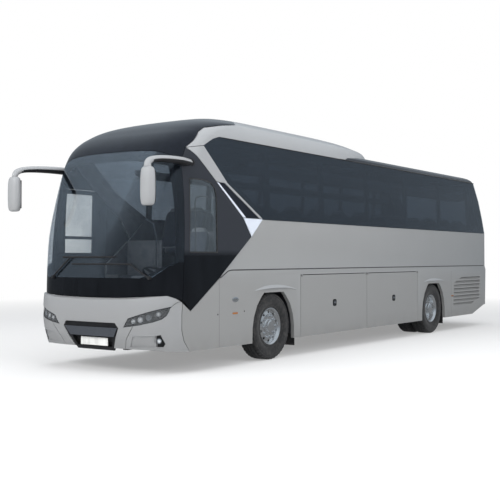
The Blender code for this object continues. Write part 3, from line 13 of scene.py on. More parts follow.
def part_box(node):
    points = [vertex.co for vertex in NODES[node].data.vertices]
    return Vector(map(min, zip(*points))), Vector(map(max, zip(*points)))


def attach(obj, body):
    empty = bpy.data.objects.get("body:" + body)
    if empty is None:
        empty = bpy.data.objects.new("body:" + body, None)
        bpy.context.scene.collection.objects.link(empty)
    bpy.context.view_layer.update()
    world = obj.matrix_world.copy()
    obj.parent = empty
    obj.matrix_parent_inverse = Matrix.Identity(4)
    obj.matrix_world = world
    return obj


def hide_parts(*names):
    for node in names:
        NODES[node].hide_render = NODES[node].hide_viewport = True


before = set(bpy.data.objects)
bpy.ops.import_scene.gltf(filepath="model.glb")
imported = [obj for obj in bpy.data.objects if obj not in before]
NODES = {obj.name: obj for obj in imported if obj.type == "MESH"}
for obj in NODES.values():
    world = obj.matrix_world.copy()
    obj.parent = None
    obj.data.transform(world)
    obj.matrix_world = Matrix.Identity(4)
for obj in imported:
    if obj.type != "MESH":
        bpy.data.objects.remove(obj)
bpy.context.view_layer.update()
FRONT_AXLE_Y = 2.82
NOSE_Y = (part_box("front_tyre_left")[0].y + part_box("front_tyre_left")[1].y) / 2 - FRONT_AXLE_Y
SIDES = {"left": 1, "right": -1}
BODY = "coach_body"

# Sizes shared with the frame
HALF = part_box("side_wall_left")[1].x
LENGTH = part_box("rear_wall")[1].y - NOSE_Y
SKIRT_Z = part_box("side_wall_left")[0].z
BELT_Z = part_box("side_glass_left")[0].z
GLASS_TOP_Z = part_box("side_glass_left")[1].z
HOOD_CROWN_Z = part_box("roof_hood")[1].z
ABOVE_CROWN_Z = HOOD_CROWN_Z + 0.05
ROOF_TOP_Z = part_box("roof_shell")[1].z
DECK_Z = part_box("floor_deck")[1].z
REAR_AXLE_Y = (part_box("rear_tyre_outer_left")[0].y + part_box("rear_tyre_outer_left")[1].y) / 2 - NOSE_Y
TYRE_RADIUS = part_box("front_tyre_left")[1].z / 2
TYRE_HALF = (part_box("front_tyre_left")[1].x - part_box("front_tyre_left")[0].x) / 2
WHEEL_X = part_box("front_tyre_left")[1].x - TYRE_HALF
RIM_RADIUS = (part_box("front_rim_left")[1].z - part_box("front_rim_left")[0].z) / 2
TOUCH = 0.0003
SEAM = 0.004
PANEL = 0.05
GLASS = 0.012
TRIM = 0.018
BUMPER_SHELL = 0.04
CORNER_DEPTH = 0.66
FRONT_FLAT_Y = 0.12
FRONT_BOW = 0.06
CORNER_POWER = 6.0
HOOD_TAIL_DEPTH = 2.3
FRONT_SKIN_END_Y = 4.1
SHOULDER_LOW_Z = 1.308
SHOULDER_HIGH_Z = 1.39
WAIST_INSET = 0.023

# Levels of the cab's front and dome: height, distance in, crown share, y of the nose, corner depth
FRONT_LEVELS = (
    (SKIRT_Z, 0.0, 0.0, 0.06, CORNER_DEPTH),
    (1.0, 0.0, 0.0, 0.06, CORNER_DEPTH),
    (1.71, 0.009, 0.0, 0.08, CORNER_DEPTH),
    (2.16, 0.017, 0.0, 0.155, CORNER_DEPTH),
    (2.75, 0.035, 0.0, 0.315, CORNER_DEPTH),
    (3.0, 0.046, 0.0, 0.41, CORNER_DEPTH),
    (3.17, 0.054, 0.1, 0.52, CORNER_DEPTH),
    (3.31, 0.061, 0.2, 0.69, CORNER_DEPTH),
    (3.4, 0.073, 0.35, 0.85, CORNER_DEPTH),
    (3.48, 0.1, 0.5, 1.01, CORNER_DEPTH + 0.03),
    (3.55, 0.155, 0.7, 1.19, CORNER_DEPTH + 0.09),
    (HOOD_CROWN_Z - 0.19, 0.295, 0.85, 1.39, CORNER_DEPTH + 0.17),
    (HOOD_CROWN_Z - 0.12, 0.475, 0.95, 1.7, CORNER_DEPTH + 0.29),
    (HOOD_CROWN_Z - 0.06, 0.705, 1.0, 2.05, CORNER_DEPTH + 0.4),
    (HOOD_CROWN_Z - 0.02, 0.945, 1.0, 2.4, CORNER_DEPTH + 0.48),
    (HOOD_CROWN_Z, 1.175, 1.0, 2.7, CORNER_DEPTH + 0.54),
)
# The roof hood's tail at the same levels from the glass top up: y of its rear end
HOOD_TAIL_Y = (7.15, 7.13, 7.1, 7.06, 7.0, 6.92, 6.7, 6.2, 5.5)
HOOD_FIRST_LEVEL = len(FRONT_LEVELS) - len(HOOD_TAIL_Y)
BUMPER_PROFILE = ((SKIRT_Z, 0.12), (0.5, 0.04), (0.72, 0.0), (0.98, 0.006), (1.12, 0.03))

# Side-view outlines, as (y, z)
BUMPER_TOP = ((-0.2, 1.0), (0.12, 1.0), (0.138, 1.011), (0.158, 1.026), (0.216, 1.05), (0.277, 1.062),
              (0.39, 1.07), (0.5, 1.03), (0.6, 0.98))
BUMPER_END = ((0.605, 0.96), (0.592, 0.8), (0.592, 0.6), (0.64, 0.45), (0.76, SKIRT_Z))
BUMPER_FOOT = ((0.46, 0.312), (0.3, 0.335), (-0.2, 0.335))
PILLAR_LINE = ((0.62, 1.0), (0.72, 2.89))
WINDSCREEN_TOP = ((0.56, 3.1), (-0.2, 3.1))
HOOP_OUTER = ((0.83, 3.1), (2.03, 2.17))
HOOP_INNER = ((1.13, 3.15), (1.66, 2.66), (2.54, 2.17))
TRIM_TIP = (2.235, 1.89)
BLACK_EDGE = ((1.425, 1.285), (0.775, 0.85))
HOOD_EDGE = ((0.985, 3.215), (1.126, 3.349), (1.273, 3.427), (1.64, 3.499), (2.017, 3.551), (2.4, 3.68),
             (2.6, ABOVE_CROWN_Z))
GLASS_CORNER = ((1.35, 3.265), (1.5, GLASS_TOP_Z))
LAMP_OUTLINE = ((0.626, 0.642), (0.705, 0.758), (1.212, 0.915), (1.206, 0.862), (1.188, 0.804),
                (1.148, 0.758), (1.053, 0.719), (0.875, 0.679))
FOG_OUTLINE = ((1.055, 0.53), (1.127, 0.549), (1.155, 0.425), (1.125, 0.38), (1.04, 0.384))
SCOOP_OUTLINE = ((0.755, 0.52), (1.055, 0.53), (1.04, 0.384), (0.675, 0.376))
SCOOP_DEPTH = 0.012
FLAP_SEAM = ((0.545, SKIRT_Z - 0.05), (0.588, 0.363), (0.634, 0.471), (0.766, 0.638), (0.8, 0.715),
             (1.2, 0.88), (1.258, 0.982))
GRILLE_OUTLINE = ((-0.474, 0.693), (0.474, 0.693), (0.53, 0.623), (0.352, 0.3), (-0.352, 0.3),
                  (-0.53, 0.623))
PLATE_RECESS = ((-0.4, 0.492), (0.4, 0.492), (0.33, 0.35), (-0.33, 0.35))
HOOD_FOOT_Y = (0.5, 1.62)
HOOD_FOOT_Z = 3.0
PAST_HOOD_Y = 10.0
GUTTER_Y = (1.6, 4.0, 7.0, 9.5, 11.3)
FRONT_ZONE_Y = (-0.3, 0.9)
LAMP_ZONE_Y = (-0.3, 0.56)
LOUVRE_OUTLINE = ((10.49, 1.21), (11.55, 1.2), (11.49, 0.63), (10.96, 0.5), (9.89, 0.5), (9.94, 1.05))
SLAT_COUNT = 8
BAY_FRONT_Y = 3.6
BAY_SPLIT_Y = 5.88
BAY_REAR_Y = 8.08
MID_DOOR_Y = (6.98, 7.86)
FRONT_DOOR_Y = (0.76, 1.68)
FRONT_DOOR_Z = (0.33, 2.63)
DOOR_PANES_Z = ((1.655, 1.865), (1.91, 2.56))
# Heights of the reflected horizon on the cab's dark panels, above which a sky reflection is painted
REFLECTED_HORIZON_Z = (1.6, 1.69)

# The photograph's camera
CAMERA_PLACE = Vector((8.948, -8.677, 1.568))
CAMERA_YAW = math.radians(35.26)
CAMERA_PITCH = math.radians(0.54)
CAMERA_LENS = 64.2


# Mesh tools

def blank(verts, faces):
    mesh = bpy.data.meshes.new("blank")
    mesh.from_pydata([tuple(v) for v in verts], [], faces)
    made = bpy.data.objects.new("blank", mesh)
    bpy.context.scene.collection.objects.link(made)
    return made


def drop(*blanks):
    for old in blanks:
        mesh = old.data
        bpy.data.objects.remove(old, do_unlink=True)
        bpy.data.meshes.remove(mesh)


def carve(piece, tool, operation):
    modifier = piece.modifiers.new("carve", "BOOLEAN")
    modifier.operation = operation
    modifier.solver = "EXACT"
    modifier.object = tool
    bpy.context.view_layer.update()
    result = bpy.data.meshes.new_from_object(piece.evaluated_get(bpy.context.evaluated_depsgraph_get()))
    old = piece.data
    piece.modifiers.clear()
    piece.data = result
    bpy.data.meshes.remove(old)
    drop(tool)
    return piece


def cut(piece, *tools):
    for tool in tools:
        carve(piece, tool, "DIFFERENCE")
    return piece


def crop(piece, tool):
    return carve(piece, tool, "INTERSECT")


def loft(rings, closed_ends=True):
    count = len(rings[0])
    verts = [point for ring in rings for point in ring]
    faces = []
    for level in range(len(rings) - 1):
        for k in range(count):
            after = (k + 1) % count
            faces.append((level * count + k, level * count + after, (level + 1) * count + after,
                          (level + 1) * count + k))
    if closed_ends:
        faces.append(tuple(reversed(range(count))))
        faces.append(tuple(range((len(rings) - 1) * count, len(rings) * count)))
    return reshape(blank(verts, faces), face_out)


def reshape(piece, change):
    """Runs one change on the editable mesh of a blank."""
    shape = bmesh.new()
    shape.from_mesh(piece.data)
    change(shape)
    shape.to_mesh(piece.data)
    shape.free()
    return piece


def face_out(shape):
    bmesh.ops.recalc_face_normals(shape, faces=shape.faces)


AXIS_ORDER = {"x": (2, 0, 1), "y": (0, 2, 1), "z": (0, 1, 2)}


def prism(axis, outline, low, high):
    """A closed outline, given in the plane across an axis, drawn out along that axis."""
    return loft([[Vector([(a, b, along)[k] for k in AXIS_ORDER[axis]]) for a, b in outline]
                 for along in (low, high)])


def oblong(a_range, b_range):
    """The four corners of a rectangle in any plane."""
    (low_a, high_a), (low_b, high_b) = a_range, b_range
    return [(low_a, low_b), (high_a, low_b), (high_a, high_b), (low_a, high_b)]


def box(x_range, y_range, z_range):
    return prism("z", oblong(x_range, y_range), *z_range)


def soften(piece, radius, segments, chosen=lambda edge: True):
    """Rounds the chosen edges of a blank."""
    def bevel(shape):
        edges = [edge for edge in shape.edges if chosen(edge)]
        bmesh.ops.bevel(shape, geom=edges, offset=radius, segments=segments, profile=0.5, affect="EDGES")

    return reshape(piece, bevel)


def soft_box(x_range, y_range, z_range, radius, segments=2):
    return soften(box(x_range, y_range, z_range), radius, segments)


def span(side, near, far):
    """The x range between two distances from the middle, on one side."""
    return sorted((side * near, side * far))


def round_corner(angle, power_a, power_b):
    """Cosine and sine of an angle, with powers below one that square an oval's corners."""
    cosine, sine = math.cos(angle), math.sin(angle)
    return math.copysign(abs(cosine) ** power_a, cosine), math.copysign(abs(sine) ** power_b, sine)


def circle(steps, wide=1.0, tall=1.0):
    """Points around an ellipse."""
    angles = [math.tau * k / steps for k in range(steps)]
    return [(wide * math.cos(angle), tall * math.sin(angle)) for angle in angles]


def turned(profile, steps, centre=(0.0, 0.0, 0.0), side=1, ripple=None):
    """A closed profile of (radius, x) turned about the x axis. Ripple may change a radius by step."""
    rings = []
    for step, (along, up) in enumerate(circle(steps)):
        ring = []
        for index, (radius, x) in enumerate(profile):
            reach = radius + (ripple(index, step) if ripple else 0.0)
            ring.append(Vector((centre[0] + side * x, centre[1] + reach * along, centre[2] + reach * up)))
        rings.append(ring)
    rings.append(rings[0])

    def close(shape):
        bmesh.ops.remove_doubles(shape, verts=shape.verts, dist=1e-6)
        face_out(shape)

    return reshape(loft(rings, closed_ends=False), close)


def disc_rod(axis, centre, radius, low, high, steps):
    return prism(axis, [(centre[0] + a, centre[1] + b) for a, b in circle(steps, radius, radius)], low, high)


def sweep(path, sizes, steps):
    """An oval tube along a path. Sizes are (sideways, upward) half widths: one pair, or one per point."""
    path = [Vector(point) for point in path]
    if isinstance(sizes, tuple):
        sizes = [sizes] * len(path)
    rings = []
    for index, point in enumerate(path):
        before = path[max(index - 1, 0)]
        after = path[min(index + 1, len(path) - 1)]
        along = (after - before).normalized()
        sideways = along.cross(Vector((0, 0, 1)))
        sideways = sideways.normalized() if sideways.length > 1e-3 else Vector((1, 0, 0))
        upward = sideways.cross(along).normalized()
        wide, tall = sizes[index]
        rings.append([point + sideways * a + upward * b for a, b in circle(steps, wide, tall)])
    return loft(rings)


def blend_point(a, b, c, d, t):
    """Catmull-Rom point between b and c."""
    cubic = 3 * b - a - 3 * c + d
    return 0.5 * ((2 * b) + (c - a) * t + (2 * a - 5 * b + 4 * c - d) * t * t + cubic * t ** 3)


def refine(rows, parts):
    """The rows of a table with smooth rows between them."""
    fine = []
    for index in range(len(rows) - 1):
        around = [rows[min(max(index + k, 0), len(rows) - 1)] for k in (-1, 0, 1, 2)]
        for part in range(parts):
            fine.append(tuple(blend_point(*values, part / parts) for values in zip(*around)))
    fine.append(tuple(rows[-1]))
    return fine


def join(pieces):
    """One mesh from several blanks, which keep their material numbers."""
    shape = bmesh.new()
    for piece in pieces:
        shape.from_mesh(piece.data)
    mesh = bpy.data.meshes.new("joined")
    shape.to_mesh(mesh)
    shape.free()
    drop(*pieces)
    made = bpy.data.objects.new("joined", mesh)
    bpy.context.scene.collection.objects.link(made)
    return made


def tint(piece, index):
    """Gives every face of a blank one of its piece's materials, by number."""
    for face in piece.data.polygons:
        face.material_index = index
    return piece


def place(piece, name, slot, *materials, body=BODY, sharp=32.0, stands_for=None):
    """Names a blank, or several as one, moves it into the frame, and rides it on a body."""
    if isinstance(piece, list):
        piece = join(piece)
    piece.data.transform(Matrix.Translation((0.0, NOSE_Y, 0.0)))
    piece.name = name
    piece.data.name = name
    indices = [face.material_index for face in piece.data.polygons]
    piece.data.materials.clear()
    for material in materials:
        piece.data.materials.append(material)
    for face, index in zip(piece.data.polygons, indices):
        face.material_index = min(index, len(materials) - 1)
    piece.data.shade_smooth()
    piece.data.set_sharp_from_angle(angle=math.radians(sharp))
    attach(piece, body)
    if stands_for:
        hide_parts(stands_for)
    return piece


def offset_outline(outline, distance):
    """The outline moved outward by a distance, or inward where it is negative."""
    area = sum(a[0] * b[1] - b[0] * a[1] for a, b in zip(outline, (*outline[1:], outline[0])))
    turn = 1.0 if area > 0 else -1.0
    result = []
    for index in range(len(outline)):
        before = Vector(outline[index - 1])
        here = Vector(outline[index])
        after = Vector(outline[(index + 1) % len(outline)])
        first = (here - before).normalized()
        second = (after - here).normalized()
        first_out = Vector((first.y, -first.x)) * turn
        second_out = Vector((second.y, -second.x)) * turn
        middle = (first_out + second_out).normalized()
        result.append(tuple(here + middle * distance / max(middle.dot(first_out), 0.35)))
    return result


# Body surfaces, finer than the frame's

ARC_STEPS = 24
TAIL_STEPS = 14
LEVEL_PARTS = 3
CORE_OVERLAP = 0.05
ZONE_START_X = 0.3
ZONE_END_X = HALF + 0.2


def front_sweep(share, depth):
    """How far the front lies behind its table's nose at a share of the half width."""
    turn = 1 - math.sqrt(max(1 - share ** CORNER_POWER, 0.0))
    return FRONT_FLAT_Y + FRONT_BOW * share ** 2 + (depth - FRONT_FLAT_Y - FRONT_BOW) * turn


ARC_SHARES = [0.0, 0.1, 0.2, 0.3] + [math.sin(math.radians(90.0 * step / ARC_STEPS)) ** (2 / CORNER_POWER)
                                     for step in range(1, ARC_STEPS + 1)]


def front_arc(half, y_nose, depth):
    return [(half * share, y_nose + front_sweep(share, depth)) for share in ARC_SHARES]


def tail_arc(half, depth):
    points = []
    for step in range(TAIL_STEPS + 1):
        angle = math.radians(90.0 * step / TAIL_STEPS)
        points.append((half * math.sin(angle) ** (2 / 3), depth * (1 - math.cos(angle))))
    return points


def ring_from_half(left, z):
    right = [(-x, y) for x, y in reversed(left) if x > 1e-6]
    return [Vector((x, y, z)) for x, y in [*left, *right]]


FINE_LEVELS = refine(FRONT_LEVELS, LEVEL_PARTS)
FINE_BUMPER = refine(BUMPER_PROFILE, 4)
FINE_HOOD = refine([(*level, tail) for level, tail in zip(FRONT_LEVELS[HOOD_FIRST_LEVEL:], HOOD_TAIL_Y)],
                   LEVEL_PARTS)


def front_solid(inset):
    rings = []
    for z, side, crown, nose, depth in FINE_LEVELS:
        wall = inset * (1 - crown)
        half = HALF - side - wall
        left = front_arc(half, nose + wall, depth)
        left.append((half, FRONT_SKIN_END_Y))
        rings.append(ring_from_half(left, z - inset * crown))
    return loft(rings)


def hood_solid(inset):
    rings = []
    for z, side, crown, nose, depth, tail_y in FINE_HOOD:
        wall = inset * (1 - crown)
        half = HALF - side - wall
        left = front_arc(half, nose + wall, depth)
        tail = tail_arc(half, min(HOOD_TAIL_DEPTH, tail_y - nose - depth - 2 * wall - 0.05))
        left.extend((x, tail_y - wall - y) for x, y in reversed(tail))
        rings.append(ring_from_half(left, z - inset * crown))
    return loft(rings)


def bumper_solid(inset):
    rings = []
    for z, nose in FINE_BUMPER:
        left = front_arc(HALF - inset, nose + inset, CORNER_DEPTH)
        left.append((HALF - inset, FRONT_SKIN_END_Y))
        rings.append(ring_from_half(left, z))
    return loft(rings)


def layer(solid, outer, inner):
    """What lies between two insets of a body surface, open below and behind."""
    core = solid(inner)
    lowest = min(vertex.co.z for vertex in core.data.vertices)
    for vertex in core.data.vertices:
        if vertex.co.z < lowest + 1e-6:
            vertex.co.z -= CORE_OVERLAP
        if solid is not hood_solid and vertex.co.y > FRONT_SKIN_END_Y - 1e-6:
            vertex.co.y += CORE_OVERLAP
    return cut(solid(outer), core)


def side_zone(outline, side):
    return prism("x", outline, *span(side, ZONE_START_X, ZONE_END_X))


def across_zone(outline):
    return prism("x", outline, -ZONE_END_X, ZONE_END_X)


def table_value(table, z):
    for low, high in zip(table, table[1:]):
        if z <= high[0]:
            return low[1] + (high[1] - low[1]) * (z - low[0]) / (high[0] - low[0])
    return table[-1][1]


def front_y(x, z):
    """Y of the bumper's outer skin at a point of the front view."""
    return table_value(BUMPER_PROFILE, z) + front_sweep(min(abs(x) / HALF, 1.0), CORNER_DEPTH)


def side_x(z):
    """Distance of the body side from the middle at a height."""
    levels = ((SKIRT_Z, 0.0), (SHOULDER_LOW_Z, 0.0), (SHOULDER_HIGH_Z, WAIST_INSET), (BELT_Z, WAIST_INSET),
              (2.5, 0.03), (2.9, 0.045), (GLASS_TOP_Z, 0.07))
    return HALF - table_value(levels, z)


# Materials

class Graph:
    """The nodes of a material or a world, each made and linked in one call."""

    def __init__(self, owner):
        owner.use_nodes = True
        self.nodes = owner.node_tree.nodes
        self.links = owner.node_tree.links

    def feed(self, socket, value):
        """Gives a socket another node's output, or a constant."""
        if isinstance(value, bpy.types.Node):
            value = value.outputs[0]
        if isinstance(value, bpy.types.NodeSocket):
            self.links.new(value, socket)
        else:
            socket.default_value = (*value, 1.0) if socket.type == "RGBA" else value

    def node(self, kind, operation=None, **inputs):
        made = self.nodes.new("ShaderNode" + kind)
        if operation:
            made.operation = operation
        for name, value in inputs.items():
            self.feed(made.inputs[name.replace("_", " ").title()], value)
        return made

    def spot(self, kind="Object"):
        return self.node("TexCoord").outputs[kind]

    def height(self, kind="Object"):
        return self.node("SeparateXYZ", Vector=self.spot(kind)).outputs["Z"]

    def scaled(self, source, low, high, to_low=0.0, to_high=1.0):
        return self.node("MapRange", Value=source, From_Min=low, From_Max=high, To_Min=to_low,
                         To_Max=to_high).outputs["Result"]

    def combined(self, operation, *values):
        made = self.node("Math", operation)
        for socket, value in zip(made.inputs, values):
            self.feed(socket, value)
        return made.outputs["Value"]

    def times(self, first, second):
        return self.combined("MULTIPLY", first, second)

    def mixed(self, share, first, second):
        made = self.nodes.new("ShaderNodeMix")
        made.data_type = "RGBA"
        sockets = (made.inputs["Factor"], made.inputs[6], made.inputs[7])
        for socket, value in zip(sockets, (share, first, second)):
            self.feed(socket, value)
        return made.outputs[2]

    def blend(self, share, first, second):
        """A mix of two shaders."""
        made = self.node("MixShader", Fac=share)
        self.feed(made.inputs[1], first)
        self.feed(made.inputs[2], second)
        return made

    def show(self, shader, output="Material Output"):
        self.feed(self.nodes[output].inputs["Surface"], shader)


class Look(Graph):
    """A Principled material that is built up node by node, in the piece's own coordinates."""

    def __init__(self, name, colour, roughness, metallic=0.0, **values):
        self.made = bpy.data.materials.new(name)
        super().__init__(self.made)
        self.shader = self.nodes["Principled BSDF"]
        values = {"Base Color": colour, "Roughness": roughness, "Metallic": metallic, **values}
        for socket, value in values.items():
            self.set(socket.replace("_", " "), value)
        self.place = self.spot()

    def set(self, socket, value):
        self.feed(self.shader.inputs[socket], value)

    def noise(self, scale, detail=3.0, stretch=None):
        where = self.node("Mapping", Scale=stretch, Vector=self.place) if stretch else self.place
        return self.node("TexNoise", Scale=scale, Detail=detail, Vector=where).outputs["Fac"]

    def roughness_from(self, source, low, high):
        self.set("Roughness", self.scaled(source, 0.3, 0.7, low, high))

    def bump(self, source, depth, strength=1.0):
        self.set("Normal", self.node("Bump", Strength=strength, Distance=depth, Height=source))


def shade(colour, factor):
    return tuple(channel * factor for channel in colour)


DUST = (0.2, 0.185, 0.165)


def dusty(look, base, top, most):
    """Road dust that thins out upward from the skirt."""
    low = look.scaled(look.height(), 0.25, top, 1.0, 0.0)
    patchy = look.scaled(look.noise(5.0, 4.0), 0.3, 0.7, 0.25, 1.0)
    look.set("Base Color", look.mixed(look.times(look.times(low, patchy), most), base, DUST))


def paint_look(name, colour, metallic, roughness):
    """Metallic lacquer: fine flakes under a clear coat, darkened toward the skirt by painted shade, with a
    little dust there.
    """
    look = Look(name, colour, roughness, metallic, Coat_Weight=0.7, Coat_Roughness=0.06)
    flakes = look.scaled(look.noise(1400.0, 1.0), 0.35, 0.65)
    cloudy = look.scaled(look.noise(1.6, 2.0), 0.3, 0.7)
    grain = look.mixed(flakes, shade(colour, 0.9), shade(colour, 1.1))
    tone = look.mixed(look.times(cloudy, 0.5), grain, shade(colour, 0.95))
    # Painted shade: low on the side the colour is mixed halfway toward a darker copy, fading out by 2.1 m, as
    # if less light reached the lower side.
    painted_shade_fade = look.scaled(look.height(), 1.3, 2.1)
    dusty(look, look.mixed(painted_shade_fade, look.mixed(0.5, tone, shade(colour, 0.78)), tone), 0.55, 0.25)
    look.bump(look.noise(260.0, 2.0), 0.00004)
    return look.made


def gloss_look(name, colour, roughness, shine=0.5, above=None):
    """Black gloss plastic and printed glass, faintly streaked; above is a paler colour over the cab's sill, a
    painted reflection of the sky over the horizon.
    """
    look = Look(name, colour, roughness, 0.0)
    look.set("Specular IOR Level", shine)
    wiped = look.noise(6.0, 4.0, (1.0, 1.0, 0.2))
    look.roughness_from(wiped, roughness * 0.6, roughness * 1.8)
    tone = look.mixed(look.scaled(wiped, 0.3, 0.7), shade(colour, 0.85), shade(colour, 1.3))
    if above:
        # Painted reflection: above the reflected horizon the colour turns to the paler sky colour given as
        # above.
        tone = look.mixed(look.scaled(look.height(), *REFLECTED_HORIZON_Z), tone, above)
    dusty(look, tone, 0.6, 0.06)
    return look.made


def glass_look(name, through, reflect, edge, haze, haze_share):
    """Thin glass: a tinted view through it, a mirror image that grows aslant, and a little haze."""
    made = bpy.data.materials.new(name)
    look = Graph(made)
    look.nodes.remove(look.nodes["Principled BSDF"])
    smear = look.node("TexNoise", Scale=1.4, Vector=look.spot()).outputs["Fac"]
    view = look.node("BsdfTransparent", Color=look.mixed(smear, shade(through, 0.92), shade(through, 1.08)))
    body = look.blend(haze_share, view, look.node("BsdfDiffuse", Color=haze))
    mirror = look.node("BsdfAnisotropic", Roughness=0.015, Color=(0.9, 0.95, 1.0))
    aslant = look.node("LayerWeight", Blend=0.3).outputs["Fresnel"]
    look.show(look.blend(look.scaled(aslant, 0.0, 0.75, reflect, edge), body, mirror))
    made.surface_render_method = "BLENDED"
    return made


def plastic_look(name, colour, roughness, grain=420.0, depth=0.00025):
    look = Look(name, colour, roughness)
    pattern = look.noise(grain, 3.0)
    worn = look.noise(9.0, 4.0)
    look.set("Base Color", look.mixed(look.scaled(worn, 0.3, 0.7), shade(colour, 0.8), shade(colour, 1.3)))
    look.roughness_from(worn, roughness * 0.85, min(roughness * 1.15, 1.0))
    look.bump(pattern, depth, 0.7)
    return look.made


def rubber_look(name, colour, roughness=0.8):
    look = Look(name, colour, roughness, Sheen_Weight=0.15)
    dust = look.scaled(look.noise(24.0, 5.0), 0.45, 0.75)
    look.set("Base Color", look.mixed(look.times(dust, 0.16), colour, DUST))
    look.bump(look.noise(300.0, 3.0), 0.0006, 0.5)
    return look.made


def metal_look(name, colour, roughness, brushed, wear):
    """Bare or polished metal with fine marks along one direction."""
    look = Look(name, colour, roughness, 1.0)
    marks = look.noise(180.0, 3.0, brushed)
    cloudy = look.noise(7.0, 3.0)
    look.set("Base Color", look.mixed(look.scaled(cloudy, 0.3, 0.7), shade(colour, 1.0 - wear), colour))
    look.roughness_from(marks, roughness * 0.7, roughness * 1.5)
    look.bump(marks, 0.00005)
    return look.made


def cast_look(name, colour):
    look = Look(name, colour, 0.6, 0.6)
    grime = look.scaled(look.noise(11.0, 5.0), 0.4, 0.7)
    look.set("Base Color", look.mixed(look.times(grime, 0.6), colour, (0.1, 0.085, 0.07)))
    look.roughness_from(look.noise(30.0, 3.0), 0.5, 0.8)
    look.bump(look.noise(90.0, 4.0), 0.0012, 0.6)
    return look.made


def cloth_look(name, colour, second):
    """Woven seat cloth with a small plain check."""
    look = Look(name, colour, 0.92, Sheen_Weight=0.4)
    weave = []
    for direction in "XZ":
        weave.append(look.node("TexWave", Scale=170.0, Distortion=0.6, Vector=look.place))
        weave[-1].bands_direction = direction
    threads = look.times(weave[0].outputs["Fac"], weave[1].outputs["Fac"])
    check = look.node("TexChecker", Scale=34.0, Vector=look.place)
    base = look.mixed(look.times(check.outputs["Fac"], 0.6), colour, second)
    look.set("Base Color", look.mixed(threads, shade(colour, 0.6), base))
    look.bump(threads, 0.0006, 0.8)
    return look.made


def lens_look(name, colour, clear, ribs=0.0):
    look = Look(name, colour, 0.06, 0.0, IOR=1.5, Coat_Weight=0.4)
    cells = look.node("TexVoronoi", Scale=70.0, Vector=look.place)
    look.set("Base Color", look.mixed(cells.outputs["Distance"], shade(colour, 1.25), shade(colour, 0.7)))
    look.set("Alpha", clear)
    look.made.surface_render_method = "BLENDED"
    if ribs:
        look.bump(cells.outputs["Distance"], ribs, 0.6)
    return look.made


def glow_look(name, colour, strength):
    look = Look(name, colour, 0.25, 0.0)
    look.set("Emission Color", colour)
    look.set("Emission Strength", strength)
    look.roughness_from(look.noise(40.0), 0.2, 0.35)
    return look.made


SILVER = paint_look("silver_paint_look", (0.45, 0.45, 0.446), 0.4, 0.36)
# A lighter copy of the silver paint for the front, hood, hoops, wheel lips, crease and mirrors: painted light
# standing for the stronger light these parts catch.
SILVER_LIT_COPY = paint_look("silver_front_look", (0.5, 0.505, 0.512), 0.4, 0.34)
BRIGHT = paint_look("bright_trim_look", (0.8, 0.85, 0.95), 0.2, 0.25)
BLACK_GLOSS = gloss_look("black_gloss_look", (0.008, 0.01, 0.015), 0.07, 0.34)
BLACK_DEEP = gloss_look("deep_black_look", (0.006, 0.007, 0.009), 0.1, 0.16)
# The corner panel's paler colour over its sill is a painted reflection of the sky.
CORNER_BLACK_AND_REFLECTION = gloss_look("corner_panel_look", (0.005, 0.006, 0.008), 0.08, 0.2, (0.03, 0.033, 0.04))
TINTED = glass_look("tinted_glass_look", (0.44, 0.48, 0.52), 0.05, 0.5, (0.035, 0.042, 0.055), 0.1)
CLEAR = glass_look("clear_glass_look", (0.925, 0.95, 0.97), 0.015, 0.36, (0.03, 0.04, 0.055), 0.07)
PANE = glass_look("door_glass_look", (0.99, 1.0, 0.99), 0.02, 0.4, (0.02, 0.024, 0.03), 0.02)
BLACK_PLASTIC = plastic_look("black_plastic_look", (0.016, 0.016, 0.018), 0.5)
GREY_PLASTIC = plastic_look("grey_plastic_look", (0.11, 0.115, 0.125), 0.6)
CHASSIS = cast_look("chassis_look", (0.018, 0.018, 0.019))
RUBBER = rubber_look("tyre_rubber_look", (0.014, 0.014, 0.015))
# Black rubber for seals and gaps; it also draws the dark strip of painted shade along the waist groove.
SEAL_AND_SHADE_LINE = rubber_look("seal_rubber_and_shade_line_look", (0.01, 0.01, 0.011), 0.6)
ALLOY = metal_look("polished_rim_look", (0.9, 0.9, 0.9), 0.13, (10.0, 1.0, 1.0), 0.12)
CHROME = metal_look("chrome_look", (0.85, 0.86, 0.88), 0.07, (1.0, 1.0, 1.0), 0.04)
SATIN = metal_look("satin_bar_look", (0.42, 0.44, 0.49), 0.3, (1.0, 1.0, 12.0), 0.08)
CAST = cast_look("cast_metal_look", (0.075, 0.075, 0.08))
FLOOR_COVER = plastic_look("floor_cover_look", (0.055, 0.057, 0.066), 0.8, 260.0, 0.0006)
SEAT_CLOTH = cloth_look("seat_cloth_look", (0.055, 0.065, 0.095), (0.13, 0.14, 0.17))
HEAD_CLOTH = cloth_look("headrest_cloth_look", (0.3, 0.31, 0.33), (0.36, 0.37, 0.38))
LENS_CLEAR = lens_look("lamp_cover_look", (0.2, 0.21, 0.22), 0.22)
LENS_RED = lens_look("red_lens_look", (0.34, 0.012, 0.01), 1.0, 0.0012)
LENS_AMBER = lens_look("amber_lens_look", (0.34, 0.14, 0.05), 1.0, 0.0012)
LAMP_WHITE = glow_look("lamp_white_look", (0.62, 0.64, 0.66), 0.1)
PLATE_WHITE = gloss_look("blank_plate_look", (0.72, 0.72, 0.7), 0.25)


# The frame's own pieces that stay

FINISH_OF_NODE = {
    "underframe": CHASSIS, "floor_deck": FLOOR_COVER, "roof_shell": BLACK_GLOSS, "rear_window": TINTED,
    "side_glass": TINTED, "engine_block": CAST, "front_axle": CAST, "rear_axle": CAST, "knuckle": CAST,
    "dashboard": BLACK_PLASTIC, "wiper": BLACK_PLASTIC,
}


